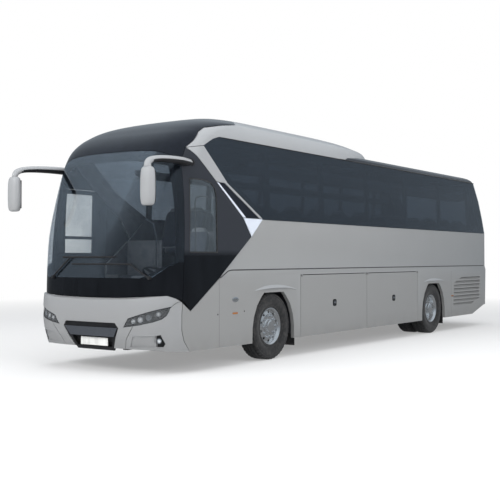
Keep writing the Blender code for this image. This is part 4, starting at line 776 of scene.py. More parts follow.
def finish_frame():
    """Gives each of the frame's pieces its material, painted where no other is named, and smooths it."""
    for name, node in NODES.items():
        look = next((look for start, look in FINISH_OF_NODE.items() if name.startswith(start)), SILVER)
        node.data.materials.clear()
        node.data.materials.append(look)
        if name.startswith("side_wall"):
            line_side_wall(node)
        weld = node.modifiers.new("weld", "WELD")
        weld.merge_threshold = 0.00002
        node.data.shade_smooth()
        smooth = node.modifiers.new("edges", "EDGE_SPLIT")
        smooth.split_angle = math.radians(32)


def line_side_wall(node):
    """Black behind the glass band, pale lining on the inside, paint elsewhere."""
    node.data.materials.append(BLACK_PLASTIC)
    node.data.materials.append(GREY_PLASTIC)
    side = 1 if "left" in node.name else -1
    for face in node.data.polygons:
        inward = face.normal.x * side < -0.5
        if face.center.z > BELT_Z - 0.01:
            face.material_index = 2 if inward else 1
        elif inward and face.center.z > DECK_Z:
            face.material_index = 2


# Windscreen, dome, hood and the panels beside the cab

def front_panel(outline, outer, inner, solid=front_solid):
    return crop(layer(solid, outer, inner), across_zone(outline))


def side_panel(outline, side, outer, inner):
    return crop(layer(front_solid, outer, inner), side_zone(outline, side))


def make_windscreen():
    """Clear pane over a black printed edge that is broad at the foot."""
    outline = [*BUMPER_TOP[:-1], PILLAR_LINE[0], PILLAR_LINE[1], *WINDSCREEN_TOP]
    sill = [(-0.3, 1.3), (0.278, 1.3), (0.33, 1.37), (0.42, 1.45), (0.56, 1.51)]
    sight = [*sill, (0.64, 2.84), (0.48, 3.02), (-0.3, 3.02)]
    foot_line = [*sill, (0.68, 1.52), (0.7, 0.9), (-0.3, 0.9)]
    glass = cut(front_panel(offset_outline(outline, -SEAM), 0.0, 0.006), across_zone(foot_line))
    place(glass, "windscreen_pane", "clear_glass", CLEAR, stands_for="windscreen")
    band = front_panel(offset_outline(outline, SEAM - TOUCH), 0.006 + TOUCH, PANEL)
    cut(band, across_zone(sight))
    foot = crop(front_panel(offset_outline(outline, -SEAM), 0.0, 0.0058),
                across_zone(offset_outline(foot_line, -0.001)))
    place([band, foot], "windscreen_surround", "black_plastic", BLACK_DEEP,
          stands_for="windscreen_frame")


def make_dome_and_hood():
    """The black dome over the windscreen and the silver hood behind it, which reaches down to the hoops."""
    dome_line = [*reversed(WINDSCREEN_TOP), PILLAR_LINE[1], HOOP_OUTER[0], *HOOD_EDGE, (-0.2, ABOVE_CROWN_Z)]
    dome = front_panel(offset_outline(dome_line, -SEAM), 0.0, PANEL)
    place(dome, "dome_skin", "black_gloss", BLACK_GLOSS, stands_for="front_dome")
    hood_line = offset_outline([HOOP_OUTER[0], HOOP_INNER[0], *GLASS_CORNER, (PAST_HOOD_Y, GLASS_TOP_Z),
                                (PAST_HOOD_Y, ABOVE_CROWN_Z), *reversed(HOOD_EDGE)], -SEAM)
    hood = front_panel(hood_line, 0.0, PANEL, hood_solid)
    foot = crop(front_panel(hood_line, 0.0, TRIM),
                box((-ZONE_END_X, ZONE_END_X), HOOD_FOOT_Y, (HOOD_FOOT_Z, GLASS_TOP_Z - TOUCH)))
    place([hood, foot], "hood_skin", "silver_paint", SILVER_LIT_COPY, stands_for="roof_hood")
    for label, side in SIDES.items():
        path = [(side * (side_x(GLASS_TOP_Z) + 0.002), y, GLASS_TOP_Z + 0.004) for y in GUTTER_Y]
        place(sweep(path, (0.004, 0.007), 8), "gutter_" + label, "black_plastic", SEAL_AND_SHADE_LINE)


def make_hoop(label, side):
    """The diagonal hoop: a painted band that splits into a painted strip and a bright one."""
    split_y = 1.398
    paint = [HOOP_OUTER[0], HOOP_INNER[0], HOOP_INNER[1], HOOP_INNER[2], (2.455, 2.17), (1.59, 2.65),
             (split_y, 2.66)]
    strip = [(split_y, 2.657), (1.45, 2.652), (2.105, 2.172), (2.03, 2.17)]
    infill = [(1.452, 2.65), (1.588, 2.648), (2.452, 2.172), (2.108, 2.172)]
    tip = [(2.03, 2.168), (2.54, 2.168), TRIM_TIP]
    band = side_panel(offset_outline(paint, -SEAM), side, 0.0, TRIM)
    place(band, "hoop_band_" + label, "silver_paint", SILVER_LIT_COPY, stands_for="pillar_hoop_" + label)
    bright = side_panel(offset_outline(strip, -0.003), side, -0.002, TRIM)
    place(bright, "hoop_bright_strip_" + label, "polished_rim", BRIGHT)
    dark = side_panel(infill, side, 0.006, TRIM)
    place(dark, "hoop_infill_" + label, "black_gloss", BLACK_GLOSS)
    bright_tip = side_panel(offset_outline(tip, -0.004), side, -0.002, TRIM)
    place(bright_tip, "hoop_tip_" + label, "polished_rim", BRIGHT)


def door_outline(grow):
    """The front door's outline, grown or shrunk."""
    return offset_outline(oblong(FRONT_DOOR_Y, FRONT_DOOR_Z), grow)


def make_corner_panel(label, side):
    """The dark panel beside the driver, with a window on the left and the door's opening on the right."""
    outline = [PILLAR_LINE[0], *reversed(BLACK_EDGE), TRIM_TIP, HOOP_OUTER[1], HOOP_OUTER[0], PILLAR_LINE[1]]
    panel = side_panel(offset_outline(outline, -SEAM), side, 0.0, PANEL)
    if side > 0:
        window = [(0.76, 1.65), (1.392, 1.65), (1.392, 2.44), (1.36, 2.56), (1.27, 2.64), (1.13, 2.67),
                  (0.8, 2.67)]
        cut(panel, side_zone(offset_outline(window, -0.016), side))
        cut(panel, side_panel(window, side, -0.01, GLASS + TOUCH))
        pane = side_panel(offset_outline(window, -0.006), side, 0.001, 0.007)
        place(pane, "driver_window_pane", "clear_glass", PANE, stands_for="driver_window")
        seal = side_panel(offset_outline(window, 0.001), side, -0.001, GLASS)
        cut(seal, side_zone(offset_outline(window, -0.012), side))
        arch = [(0.905, 1.65), (0.905, 2.33), (0.935, 2.41), (1.02, 2.44), (1.386, 2.44), (1.386, 2.424),
                (1.026, 2.424), (0.947, 2.398), (0.921, 2.324), (0.921, 1.65)]
        frame_bar = side_panel(arch, side, 0.008, 0.02)
        place([seal, frame_bar], "driver_window_seal", "black_plastic", SEAL_AND_SHADE_LINE)
    else:
        cut(panel, side_zone(door_outline(SEAM), side))
    place(panel, "corner_skin_" + label, "black_gloss", CORNER_BLACK_AND_REFLECTION, stands_for="corner_panel_" + label)


def make_front_door():
    """The glazed passenger door: black gloss frame, silver foot and two panes."""
    side = SIDES["right"]
    low_y, high_y = FRONT_DOOR_Y
    leaf = side_panel(door_outline(-SEAM), side, 0.0, PANEL)
    sheet = oblong((low_y + 0.03, high_y - 0.04), (0.95, FRONT_DOOR_Z[1] - 0.04))
    for z_range in DOOR_PANES_Z:
        cut(leaf, side_zone(oblong((low_y + 0.05, high_y - 0.28), z_range), side))
    cut(leaf, side_panel(sheet, side, -0.01, GLASS + TOUCH))
    for face in leaf.data.polygons:
        face.material_index = 0 if face.center.z > door_foot_z(face.center.y) else 1
    place(leaf, "front_door_leaf", "black_gloss", BLACK_DEEP, SILVER, stands_for="passenger_door_front")
    glass = side_panel(offset_outline(sheet, -0.001), side, 0.0, 0.006)
    place(glass, "front_door_pane", "clear_glass", PANE, stands_for="door_glass_front")
    seal = side_panel(door_outline(-0.002), side, 0.006, 0.03)
    cut(seal, side_zone(door_outline(-0.012), side))
    place(seal, "front_door_seal", "black_plastic", SEAL_AND_SHADE_LINE)


def door_foot_z(y):
    """Height where the black zone ends above the silver foot of the door."""
    (rear_y, rear_z), (fore_y, fore_z) = BLACK_EDGE
    return fore_z + (rear_z - fore_z) * (y - fore_y) / (rear_y - fore_y)


# Bumper, lamps and grille

def front_zone(outline, side=1, margin=0.0, reach=FRONT_ZONE_Y):
    """A prism along y through the front, from a front-view outline."""
    return prism("y", [(side * x, z) for x, z in offset_outline(outline, margin)], *reach)


def lamp_zone(outline, side, margin):
    return front_zone(outline, side, margin, LAMP_ZONE_Y)


def corner_zone(side, margin):
    outline = [*FLAP_SEAM, (HALF + 0.1, 0.99), (HALF + 0.1, SKIRT_Z - 0.05)]
    return front_zone(outline, side, margin)


def make_bumper():
    """The silver front: a wide flap over the lamps and grille, and a corner on each side."""
    outline = offset_outline([*BUMPER_TOP, *BUMPER_END, *BUMPER_FOOT], -SEAM)
    flap = crop(layer(bumper_solid, 0.0, BUMPER_SHELL), across_zone(outline))
    for label, side in SIDES.items():
        corner = crop(layer(bumper_solid, 0.0, BUMPER_SHELL), across_zone(outline))
        crop(corner, corner_zone(side, -SEAM))
        cut(corner, lamp_zone(LAMP_OUTLINE, side, 0.004), lamp_zone(FOG_OUTLINE, side, 0.0))
        hollow = crop(bumper_solid(-0.02), front_zone(SCOOP_OUTLINE, side, 0.0))
        cut(corner, cut(hollow, bumper_solid(SCOOP_DEPTH)))
        place(corner, "bumper_skin_" + label, "silver_paint", SILVER_LIT_COPY,
              stands_for="bumper_corner_" + label)
        cut(flap, corner_zone(side, SEAM), lamp_zone(LAMP_OUTLINE, side, 0.0045))
    cut(flap, front_zone(GRILLE_OUTLINE))
    place(flap, "front_flap_skin", "silver_paint", SILVER_LIT_COPY, stands_for="front_flap")


def aim(piece, centre, direction):
    """Turns a blank made about the x axis to look along a direction, and moves it to its centre."""
    turn = Vector((1, 0, 0)).rotation_difference(direction.normalized()).to_matrix().to_4x4()
    piece.data.transform(Matrix.Translation(centre) @ turn)
    return piece


def outward(x, z):
    """Direction square to the bumper skin, seen from above."""
    step = 0.01
    slope = (front_y(x + step, z) - front_y(x - step, z)) / (2 * step)
    return Vector((slope, -1.0, 0.0)).normalized()


def lamp_part(profile, steps, x, z, depth, look=0):
    """A turned part that stands square to the bumper's skin, set back from it."""
    direction = outward(x, z)
    centre = Vector((x, front_y(x, z), z)) - direction * depth
    return tint(aim(turned(profile, steps), centre, direction), look)


LAMP_UNITS = ((0.782, 0.722, 0.036), (0.888, 0.746, 0.043), (1.004, 0.776, 0.042), (1.118, 0.822, 0.038))


def make_headlamp(label, side):
    """Clear cover over a black bowl with four round lamp units, the third with a plain mirror bulb."""
    cover = crop(layer(bumper_solid, 0.002, 0.006), lamp_zone(LAMP_OUTLINE, side, -0.001))
    place(cover, "headlamp_cover_" + label, "lamp_lens", LENS_CLEAR, stands_for="headlamp_" + label)
    bowl = crop(layer(bumper_solid, 0.05, 0.06), lamp_zone(LAMP_OUTLINE, side, 0.004))
    rim = cut(crop(layer(bumper_solid, 0.004, 0.06), lamp_zone(LAMP_OUTLINE, side, 0.0038)),
              lamp_zone(LAMP_OUTLINE, side, -0.006))
    place([bowl, rim], "headlamp_bowl_" + label, "black_plastic", BLACK_DEEP)
    parts = []
    for index, (x, z, radius) in enumerate(LAMP_UNITS):
        bezel = [(radius, 0.0), (radius, 0.026), (radius * 0.9, 0.03), (radius * 0.84, 0.024),
                 (radius * 0.55, 0.006), (radius * 0.55, 0.0)]
        bulb = [(0.001, 0.004), (radius * 0.62, 0.006), (radius * 0.6, 0.014), (radius * 0.4, 0.024),
                (0.001, 0.028)]
        parts.append(lamp_part(bezel, 28, side * x, z, 0.046))
        parts.append(lamp_part(bulb, 24, side * x, z, 0.046, 0 if index == 2 else 1))
    place(parts, "headlamp_units_" + label, "lamp_lens", CHROME, LAMP_WHITE)


FOG_BEZEL = ((0.034, 0.0), (0.034, 0.018), (0.028, 0.02), (0.022, 0.004), (0.022, 0.0))
FOG_BULB = ((0.001, 0.002), (0.024, 0.004), (0.018, 0.012), (0.001, 0.015))
CREASE = ((0.728, 0.529), (0.867, 0.527), (0.96, 0.534), (1.053, 0.545), (1.129, 0.567), (1.155, 0.585))
CREASE_SIZES = [(0.0035, 0.002), (0.006, 0.004), (0.007, 0.005), (0.008, 0.006), (0.007, 0.005),
                (0.004, 0.003)]


def make_fog_lamp(label, side):
    """Round lamp in its recess, and the crease of the bumper above it."""
    back = crop(layer(bumper_solid, 0.034, 0.044), lamp_zone(FOG_OUTLINE, side, 0.004))
    spot = (side * 1.098, 0.462, 0.036)
    parts = [back, lamp_part(FOG_BEZEL, 24, *spot, 1), lamp_part(FOG_BULB, 20, *spot, 2)]
    place(parts, "fog_lamp_" + label, "black_plastic", BLACK_PLASTIC, CHROME, LAMP_WHITE)
    path = [(side * x, front_y(side * x, z) - 0.001, z) for x, z in CREASE]
    place(sweep(path, CREASE_SIZES, 8), "bumper_crease_" + label, "silver_paint", SILVER_LIT_COPY)


GRILLE_SLAT_Z = (0.64, 0.656, 0.672)


def make_centre_grille():
    """Black air intake with a broad silver bar and a blank plate under it."""
    shell = crop(layer(bumper_solid, 0.014, 0.04), front_zone(GRILLE_OUTLINE, 1, -0.002))
    cut(shell, front_zone(PLATE_RECESS))
    back = crop(layer(bumper_solid, 0.07, 0.082), front_zone(PLATE_RECESS, 1, 0.012))
    walls = cut(crop(layer(bumper_solid, 0.03, 0.082), front_zone(PLATE_RECESS, 1, 0.01)),
                front_zone(PLATE_RECESS))
    slats = [crop(layer(bumper_solid, 0.007, 0.02), front_zone(oblong((-0.49, 0.49), (z, z + 0.005))))
             for z in GRILLE_SLAT_Z]
    place([shell, back, walls, *slats], "grille_black", "black_plastic", BLACK_PLASTIC,
          stands_for="centre_grille")
    bar = crop(layer(bumper_solid, 0.001, 0.02),
               front_zone([(-0.505, 0.622), (0.505, 0.622), (0.42, 0.497), (-0.42, 0.497)]))
    place(bar, "grille_bar", "silver_paint", SATIN)
    face_y = front_y(0.0, 0.42) + 0.028
    plate = soft_box((-0.26, 0.26), (face_y, face_y + 0.006), (0.363, 0.473), 0.002)
    place(plate, "front_plate_blank", "black_plastic", PLATE_WHITE)


# Trim along the sides

def on_side(side, y, z, lift):
    return Vector((side * (side_x(z) + lift), y, z))


def side_strip(side, points, tall, lift):
    """A slim strip that follows the side through (y, z) points."""
    return sweep([on_side(side, y, z, lift) for y, z in points], (tall, tall), 6)


def side_plate(side, outline, thick, radius=0.0):
    """A flat plate on the lower side, from its (y, z) outline."""
    plate = prism("x", outline, *span(side, HALF + TOUCH, HALF + thick))
    if radius:
        soften(plate, radius, 2,
               lambda edge: all(abs(abs(vertex.co.x) - HALF - thick) < 1e-5 for vertex in edge.verts))
    return plate


def oval(centre, half_y, half_z, steps=28, power=1.0):
    """Outline of an oval in the side view; a power below one squares it."""
    corners = [round_corner(math.tau * k / steps, power, power) for k in range(steps)]
    return [(centre[0] + half_y * along, centre[1] + half_z * up) for along, up in corners]


WAIST_Z = 1.4
WAIST_START = ((1.42, 1.292), (1.47, 1.3), (1.56, 1.34), (1.66, 1.384), (1.75, 1.398))
# Upright seams on the lower side: y, lowest and highest z. The right side has only the first
SIDE_SEAMS = ((9.8, 0.34, 1.29), (1.42, 0.31, 1.285))
LIP_ARCS = (
    ((2.31, 1.085), (2.42, 1.117), (2.56, 1.143), (2.72, 1.158), (2.9, 1.16), (3.08, 1.15), (3.28, 1.122),
     (3.46, 1.08)),
    ((8.38, 1.085), (8.5, 1.117), (8.64, 1.14), (8.78, 1.15), (8.94, 1.152), (9.1, 1.142), (9.28, 1.118),
     (9.42, 1.085)),
)
MUD_FLAP_X = (0.935, 1.205)
MUD_FLAP_Y = (3.515, 9.5)
MUD_FLAP_Z = (0.165, 0.56)
LIP_DROP = 0.048
LIP_LIFT = 0.026


def make_side_lines(label, side):
    """The waist line, a dark strip of painted shade in the groove above the shoulder, broken at the mid door
    on the right, and the upright panel seams.
    """
    if side > 0:
        runs = [[*WAIST_START, (4.0, WAIST_Z), (8.0, WAIST_Z), (11.8, WAIST_Z)]]
        seams = SIDE_SEAMS
    else:
        runs = [[(1.71, WAIST_Z), (4.0, WAIST_Z), (6.955, WAIST_Z)], [(7.885, WAIST_Z), (11.8, WAIST_Z)]]
        seams = SIDE_SEAMS[:1]
    # The waist strips are painted shade, dark where the groove's shadow falls; the upright seams are dark
    # joints.
    strips = [side_strip(side, run, 0.0095, -0.004) for run in runs]
    strips.extend(side_strip(side, [(y, low_z), (y, 0.8), (y, high_z)], 0.0022, -0.0012)
                  for y, low_z, high_z in seams)
    place(strips, "side_lines_" + label, "black_plastic", SEAL_AND_SHADE_LINE)


def make_wheel_lips(label, side):
    """The swollen lips over the wheels, flat at their ends."""
    lips = []
    for arc in LIP_ARCS:
        rings = []
        for index, (y, z) in enumerate(arc):
            share = math.sin(math.pi * (index + 0.25) / (len(arc) - 0.5))
            low_z = z - LIP_DROP * share
            lift = LIP_LIFT * share
            section = ((-0.004, z), (0.0, z), (lift, low_z), (lift - 0.004 * share, low_z - 0.006),
                       (-0.004, low_z - 0.007))
            rings.append([Vector((side * (HALF + out), y, height)) for out, height in section])
        lips.append(loft(rings))
    place(lips, "wheel_lips_" + label, "silver_paint", SILVER_LIT_COPY)


def make_side_markers(label, side):
    """The oval marker ahead of the front wheel, two studs near it, and the amber side lights."""
    parts = [side_plate(side, oval((1.8, 0.97), 0.078, 0.037), 0.01, 0.004),
             tint(side_plate(side, oval((1.8, 0.97), 0.06, 0.024), 0.013, 0.004), 1)]
    for spot in ((1.385, 0.772), (2.03, 0.79)):
        parts.append(tint(side_plate(side, oval(spot, 0.011, 0.011, 12), 0.003), 2))
    for spot in ((1.8, 0.77), (9.87, 0.75)):
        parts.append(tint(side_plate(side, oval(spot, 0.062, 0.014, 20, 0.3), 0.006, 0.002), 3))
    place(parts, "side_markers_" + label, "lamp_lens", CHROME, LENS_CLEAR, BLACK_PLASTIC, LENS_AMBER)


def make_flap_locks(label, side):
    """A recessed lock with its folded handle in the middle of each luggage flap."""
    middles = {"front": (BAY_FRONT_Y + BAY_SPLIT_Y) / 2 - 0.04}
    middles["rear"] = (BAY_SPLIT_Y + BAY_REAR_Y) / 2 if side > 0 else (BAY_SPLIT_Y + MID_DOOR_Y[0]) / 2
    for spot, y in middles.items():
        plate = side_plate(side, oval((y, 0.81), 0.062, 0.058, 28, 0.5), 0.004, 0.0015)
        dish = side_plate(side, oval((y, 0.81), 0.045, 0.04, 24, 0.6), 0.0055)
        handle = side_plate(side, oval((y, 0.812), 0.03, 0.011, 20, 0.5), 0.012, 0.003)
        which = spot + "_" + label
        place([plate, tint(dish, 1), tint(handle, 2)], "lock_" + which, "black_plastic", BLACK_DEEP,
              BLACK_PLASTIC, CHROME, body="flap_" + which)


SLAT = ((0.001, 0.0), (0.001, 0.011), (0.05, 0.046), (0.05, 0.035))
SLAT_Y = (9.8, 11.62)


def make_louvres(label, side):
    """A thin silver slat in each slot of the radiator grille."""
    low_z = min(point[1] for point in LOUVRE_OUTLINE) + 0.03
    high_z = max(point[1] for point in LOUVRE_OUTLINE) - 0.03
    pitch = (high_z - low_z) / SLAT_COUNT
    field = side_zone(offset_outline(LOUVRE_OUTLINE, -0.03), side)
    bars = []
    for index in range(SLAT_COUNT):
        z = low_z + pitch * (index + 0.19)
        bars.append(prism("y", [(side * (HALF - deep), z + rise) for deep, rise in SLAT], *SLAT_Y))
    slats = crop(join(bars), field)
    mesh = box(span(side, HALF - 0.07, HALF - 0.062), (9.93, 11.5), (0.53, 1.17))
    place([slats, tint(mesh, 1)], "louvre_slats_" + label, "silver_paint", SILVER, BLACK_PLASTIC)


def make_mud_flaps(label, side):
    """A thin rubber sheet behind each wheel."""
    sheets = [soft_box(span(side, *MUD_FLAP_X), (y, y + 0.006), MUD_FLAP_Z, 0.002) for y in MUD_FLAP_Y]
    place(sheets, "mud_flaps_" + label, "tyre_rubber", SEAL_AND_SHADE_LINE)


# Mirrors

MIRROR_HEAD = Vector((1.286, -0.109, 2.498))
HEAD_HALF = (0.108, 0.072, 0.25)
MIRROR_PATH = ((1.15, 0.9, 2.885), (1.205, 0.64, 2.895), (1.24, 0.286, 2.885), (1.258, 0.03, 2.858),
               (1.272, -0.085, 2.812), (1.284, -0.112, 2.74))
MIRROR_SIZES = ((0.075, 0.056), (0.07, 0.054), (0.062, 0.048), (0.052, 0.042), (0.046, 0.044), (0.05, 0.04))
HEAD_RINGS = ((-1.0, 0.5), (-0.98, 0.68), (-0.93, 0.81), (-0.84, 0.9), (-0.66, 0.965), (-0.3, 1.0),
              (0.3, 0.99), (0.66, 0.95), (0.84, 0.88), (0.93, 0.78), (0.98, 0.64), (1.0, 0.44))


def head_ranges(half_x, y_range, z_range):
    """The x, y and z ranges of something at the mirror's head, given from its centre."""
    spans = ((-half_x, half_x), y_range, z_range)
    return [(centre + low, centre + high) for centre, (low, high) in zip(MIRROR_HEAD, spans)]


def make_mirror(label, side):
    """A drooping arm, silver above and black below, with the mirror's head hung from its end."""
    path = refine(MIRROR_PATH, 5)
    sizes = refine(MIRROR_SIZES, 5)
    arm = sweep(path, sizes, 20)
    count = len(arm.data.polygons) - 2
    for face in arm.data.polygons:
        ring = min(face.index // 20, len(path) - 1)
        below = face.center.z < path[ring][2] - 0.006 and face.center.y > -0.02
        face.material_index = 1 if below and face.index < count else 0
    rings = []
    for share, wide in HEAD_RINGS:
        ring = []
        for k in range(32):
            across, along = round_corner(math.tau * k / 32, 0.72, 0.95)
            shares = (wide * across, wide * along, share)
            ring.append(Vector([at + half * part for at, half, part in zip(MIRROR_HEAD, HEAD_HALF, shares)]))
        rings.append(ring)
    head = loft(rings)
    cut(head, box(*head_ranges(0.088, (0.056, 0.2), (-0.205, 0.2))))
    rim = soft_box(*head_ranges(0.0875, (0.045, 0.058), (-0.2045, 0.1995)), 0.002)
    glass = soft_box(*head_ranges(0.08, (0.0585, 0.0615), (-0.196, 0.191)), 0.001)
    foot = sweep([(1.12, 0.935, 2.882), (1.185, 0.84, 2.888)], [(0.09, 0.066), (0.082, 0.062)], 20)
    whole = join([arm, head, tint(rim, 1), tint(glass, 2), tint(foot, 1)])
    if side < 0:
        whole.data.transform(Matrix.Scale(-1.0, 4, Vector((1, 0, 0))))
        whole.data.flip_normals()
    place(whole, "mirror_" + label + "_dressed", "silver_paint", SILVER_LIT_COPY, BLACK_PLASTIC, CHROME,
          stands_for="mirror_" + label)


# Wheels

def tyre_profile():
    """Half profile from the bead over the sidewall to the tread, mirrored to the other side."""
    bead = RIM_RADIUS + 0.001
    half = [(bead, 0.11), (bead + 0.012, 0.121), (bead + 0.03, 0.127), (bead + 0.034, 0.1235),
            (bead + 0.06, 0.135), (0.395, 0.1465), (0.425, 0.147), (0.452, 0.1435), (0.456, 0.14),
            (0.47, 0.14), (0.474, 0.143), (0.49, 0.14), (0.502, 0.133), (0.511, 0.12), (0.5135, 0.104),
            (0.5005, 0.102), (0.5005, 0.09), (0.5145, 0.088), (0.515, 0.035), (0.501, 0.033),
            (0.501, 0.021), (0.515, 0.019)]
    return half + [(radius, -x) for radius, x in reversed(half)]


LUG_STEPS = 132
LUG_DEPTH = 0.009
LUG_POINTS = (11, 12, 13, 14, 29, 30, 31, 32)


def make_tyre(node, side):
    low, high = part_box(node)
    centre = ((low.x + high.x) / 2, (low.y + high.y) / 2 - NOSE_Y, (low.z + high.z) / 2)

    def notch(index, step):
        return -LUG_DEPTH if index in LUG_POINTS and step % 3 == 0 else 0.0

    tyre = turned(tyre_profile(), LUG_STEPS, centre, 1, notch)
    body = ("front_wheel_" if "front" in node else "rear_wheel_") + side
    place(tyre, node + "_rubber", "tyre_rubber", RUBBER, body=body, sharp=24.0, stands_for=node)


HAND_HOLES = 10
HAND_HOLE_RADIUS = 0.0215
STUD_CIRCLE = 0.1675
STUD = ((0.001, 0.0), (0.0185, 0.0), (0.0185, 0.014), (0.015, 0.03), (0.01, 0.036), (0.001, 0.037))
HUB_BOLTS = 8
HUB_BOLT_CIRCLE = 0.072
HUB_BOLT_X = 0.104
HUB_BOLT = ((0.001, 0.0), (0.009, 0.0), (0.009, 0.01), (0.001, 0.011))
RIM_LIP = ((0.262, 0.092), (0.282, 0.104), (0.289, 0.112), (0.287, 0.12), (0.278, 0.122), (0.264, 0.112))
# Profiles as (radius, x): the disc, its hub and the drum behind them; then the holes and nuts
FRONT_RIM = {
    "disc": ((0.262, -0.1), (0.286, -0.11), (0.289, -0.104), (0.27, -0.09), (0.252, -0.06), (0.25, 0.06),
             *RIM_LIP, (0.254, 0.096), (0.247, 0.08), (0.238, 0.076), (0.215, 0.084), (0.196, 0.093),
             (0.188, 0.094), (0.184, 0.086), (0.14, 0.084), (0.12, 0.084), (0.12, 0.066), (0.2, 0.066),
             (0.236, 0.05), (0.24, -0.06), (0.244, -0.09)),
    "hub": ((0.001, 0.07), (0.119, 0.07), (0.119, 0.092), (0.112, 0.1), (0.098, 0.104), (0.092, 0.124),
            (0.078, 0.134), (0.03, 0.137), (0.001, 0.1372)),
    "drum": ((0.001, 0.02), (0.21, 0.02), (0.21, -0.07), (0.001, -0.07)),
    "hole_circle": 0.222, "hole_reach": (0.02, 0.15), "nut_x": 0.084,
}
REAR_RIM = {
    "disc": ((0.262, -0.445), (0.287, -0.448), (0.289, -0.44), (0.262, -0.425), (0.252, -0.12), (0.25, 0.06),
             *RIM_LIP, (0.252, 0.096), (0.243, 0.07), (0.24, -0.01), (0.232, -0.026), (0.205, -0.014),
             (0.19, -0.004), (0.14, -0.004), (0.12, -0.004), (0.12, -0.024), (0.196, -0.026),
             (0.232, -0.05), (0.24, -0.12), (0.244, -0.43)),
    "hub": ((0.001, -0.03), (0.118, -0.03), (0.118, 0.05), (0.108, 0.062), (0.108, 0.1), (0.096, 0.112),
            (0.05, 0.122), (0.001, 0.123)),
    "drum": ((0.001, -0.06), (0.205, -0.06), (0.205, -0.2), (0.001, -0.2)),
    "hole_circle": 0.212, "hole_reach": (-0.08, 0.03), "nut_x": -0.004,
}


def make_rim(label, side, end, sizes, axle_y):
    """Polished disc wheel with round hand holes, its drum, nuts and hub; the rear hub has small bolts too."""
    centre = (side * WHEEL_X, axle_y, TYRE_RADIUS)

    def around(index, count, far, x):
        angle = math.tau * index / count
        return centre[0] + side * x, centre[1] + far * math.cos(angle), centre[2] + far * math.sin(angle)

    def fasteners(profile, steps, count, far, x):
        return [tint(turned(profile, steps, around(index, count, far, x), side), 2) for index in range(count)]

    disc = turned(sizes["disc"], 96, centre, side)
    reach = sorted(centre[0] + side * x for x in sizes["hole_reach"])
    for index in range(HAND_HOLES):
        spot = around(index + 0.5, HAND_HOLES, sizes["hole_circle"], 0.0)
        cut(disc, disc_rod("x", spot[1:], HAND_HOLE_RADIUS, *reach, 20))
    body = end + "_wheel_" + label
    place(disc, end + "_disc_" + label, "polished_rim", ALLOY, stands_for=end + "_rim_" + label, body=body)
    parts = [turned(sizes["hub"], 48, centre, side), tint(turned(sizes["drum"], 32, centre, side), 1)]
    parts.extend(fasteners(STUD, 10, HAND_HOLES, STUD_CIRCLE, sizes["nut_x"]))
    if end == "rear":
        parts.extend(fasteners(HUB_BOLT, 8, HUB_BOLTS, HUB_BOLT_CIRCLE, HUB_BOLT_X))
    place(parts, end + "_hub_" + label, "polished_rim", ALLOY, CAST, CHROME, body=body)


# Cab and saloon

SEAT_STEP = 0.79
SEAT_FIRST_Y = 2.45
SEAT_ROWS = 11
SEAT_X = (0.48, 0.92)
SEAT_RAIL_X = (0.44, 0.96)
SEAT_LEAN = math.radians(15.3)
WHEEL_CENTRE = Vector((0.62, 0.86, 1.33))
WHEEL_AXIS = Vector((0.0, 0.5, 0.8660254))
PLATFORM_Z = 0.82
RACK_Y = (2.3, 11.0)


def pillow(centre, half, lean=0.0, square=0.42, crown=0.62, steps=24, levels=11):
    """A crowned closed pad: full in the middle, drawn in at its seams, leaning back about the x axis."""
    rings = []
    for level in range(levels + 1):
        tilt = math.radians(-86.0 + 172.0 * level / levels)
        out = math.cos(tilt) ** crown
        up = math.copysign(abs(math.sin(tilt)) ** crown, tilt)
        ring = []
        for k in range(steps):
            across, along = round_corner(math.tau * k / steps, square, square)
            point = Vector((half[0] * out * across, half[1] * out * along, half[2] * up))
            ring.append(Vector(centre) + Matrix.Rotation(-lean, 3, "X") @ point)
        rings.append(ring)
    return loft(rings)


def seat_pads(x, y, z):
    """Cushion, backrest and headrest of one seat whose frame stands at y on a floor at z."""
    cushion = pillow((x, y + 0.235, z + 0.395), (0.205, 0.235, 0.07))
    back = pillow((x, y + 0.56, z + 0.755), (0.2, 0.062, 0.33), SEAT_LEAN, 0.5, 0.38)
    head = pillow((x, y + 0.64, z + 1.04), (0.135, 0.052, 0.085), SEAT_LEAN, 0.6, 0.5, 20, 9)
    return [cushion, back, tint(head, 1)]


def make_passenger_seats(label, side):
    """Eleven rows of paired seats with moulded shells, on two rails."""
    pads = []
    shells = []
    for row in range(SEAT_ROWS):
        y = SEAT_FIRST_Y + SEAT_STEP * row
        for x in SEAT_X:
            pads.extend(seat_pads(side * x, y, DECK_Z))
            shell = soft_box((side * x - 0.19, side * x + 0.19), (-0.012, 0.012), (-0.34, 0.3), 0.01)
            lean = Matrix.Rotation(-SEAT_LEAN, 4, "X")
            shell.data.transform(Matrix.Translation((0.0, y + 0.632, DECK_Z + 0.75)) @ lean)
            shells.append(shell)
        shells.append(soft_box(span(side, *SEAT_RAIL_X), (y + 0.2, y + 0.42),
                               (DECK_Z + 0.03, DECK_Z + 0.325), 0.02))
    last_y = SEAT_FIRST_Y + SEAT_STEP * (SEAT_ROWS - 1) + 0.5
    for x in SEAT_RAIL_X:
        shells.append(soft_box((side * x - 0.02, side * x + 0.02), (SEAT_FIRST_Y, last_y),
                               (DECK_Z + TOUCH, DECK_Z + 0.03), 0.004))
    place(shells, "seat_frames_" + label, "seat_cloth", GREY_PLASTIC,
          stands_for="passenger_seats_" + label)
    cloth = place(pads, "seat_pads_" + label, "seat_cloth", SEAT_CLOTH, HEAD_CLOTH)


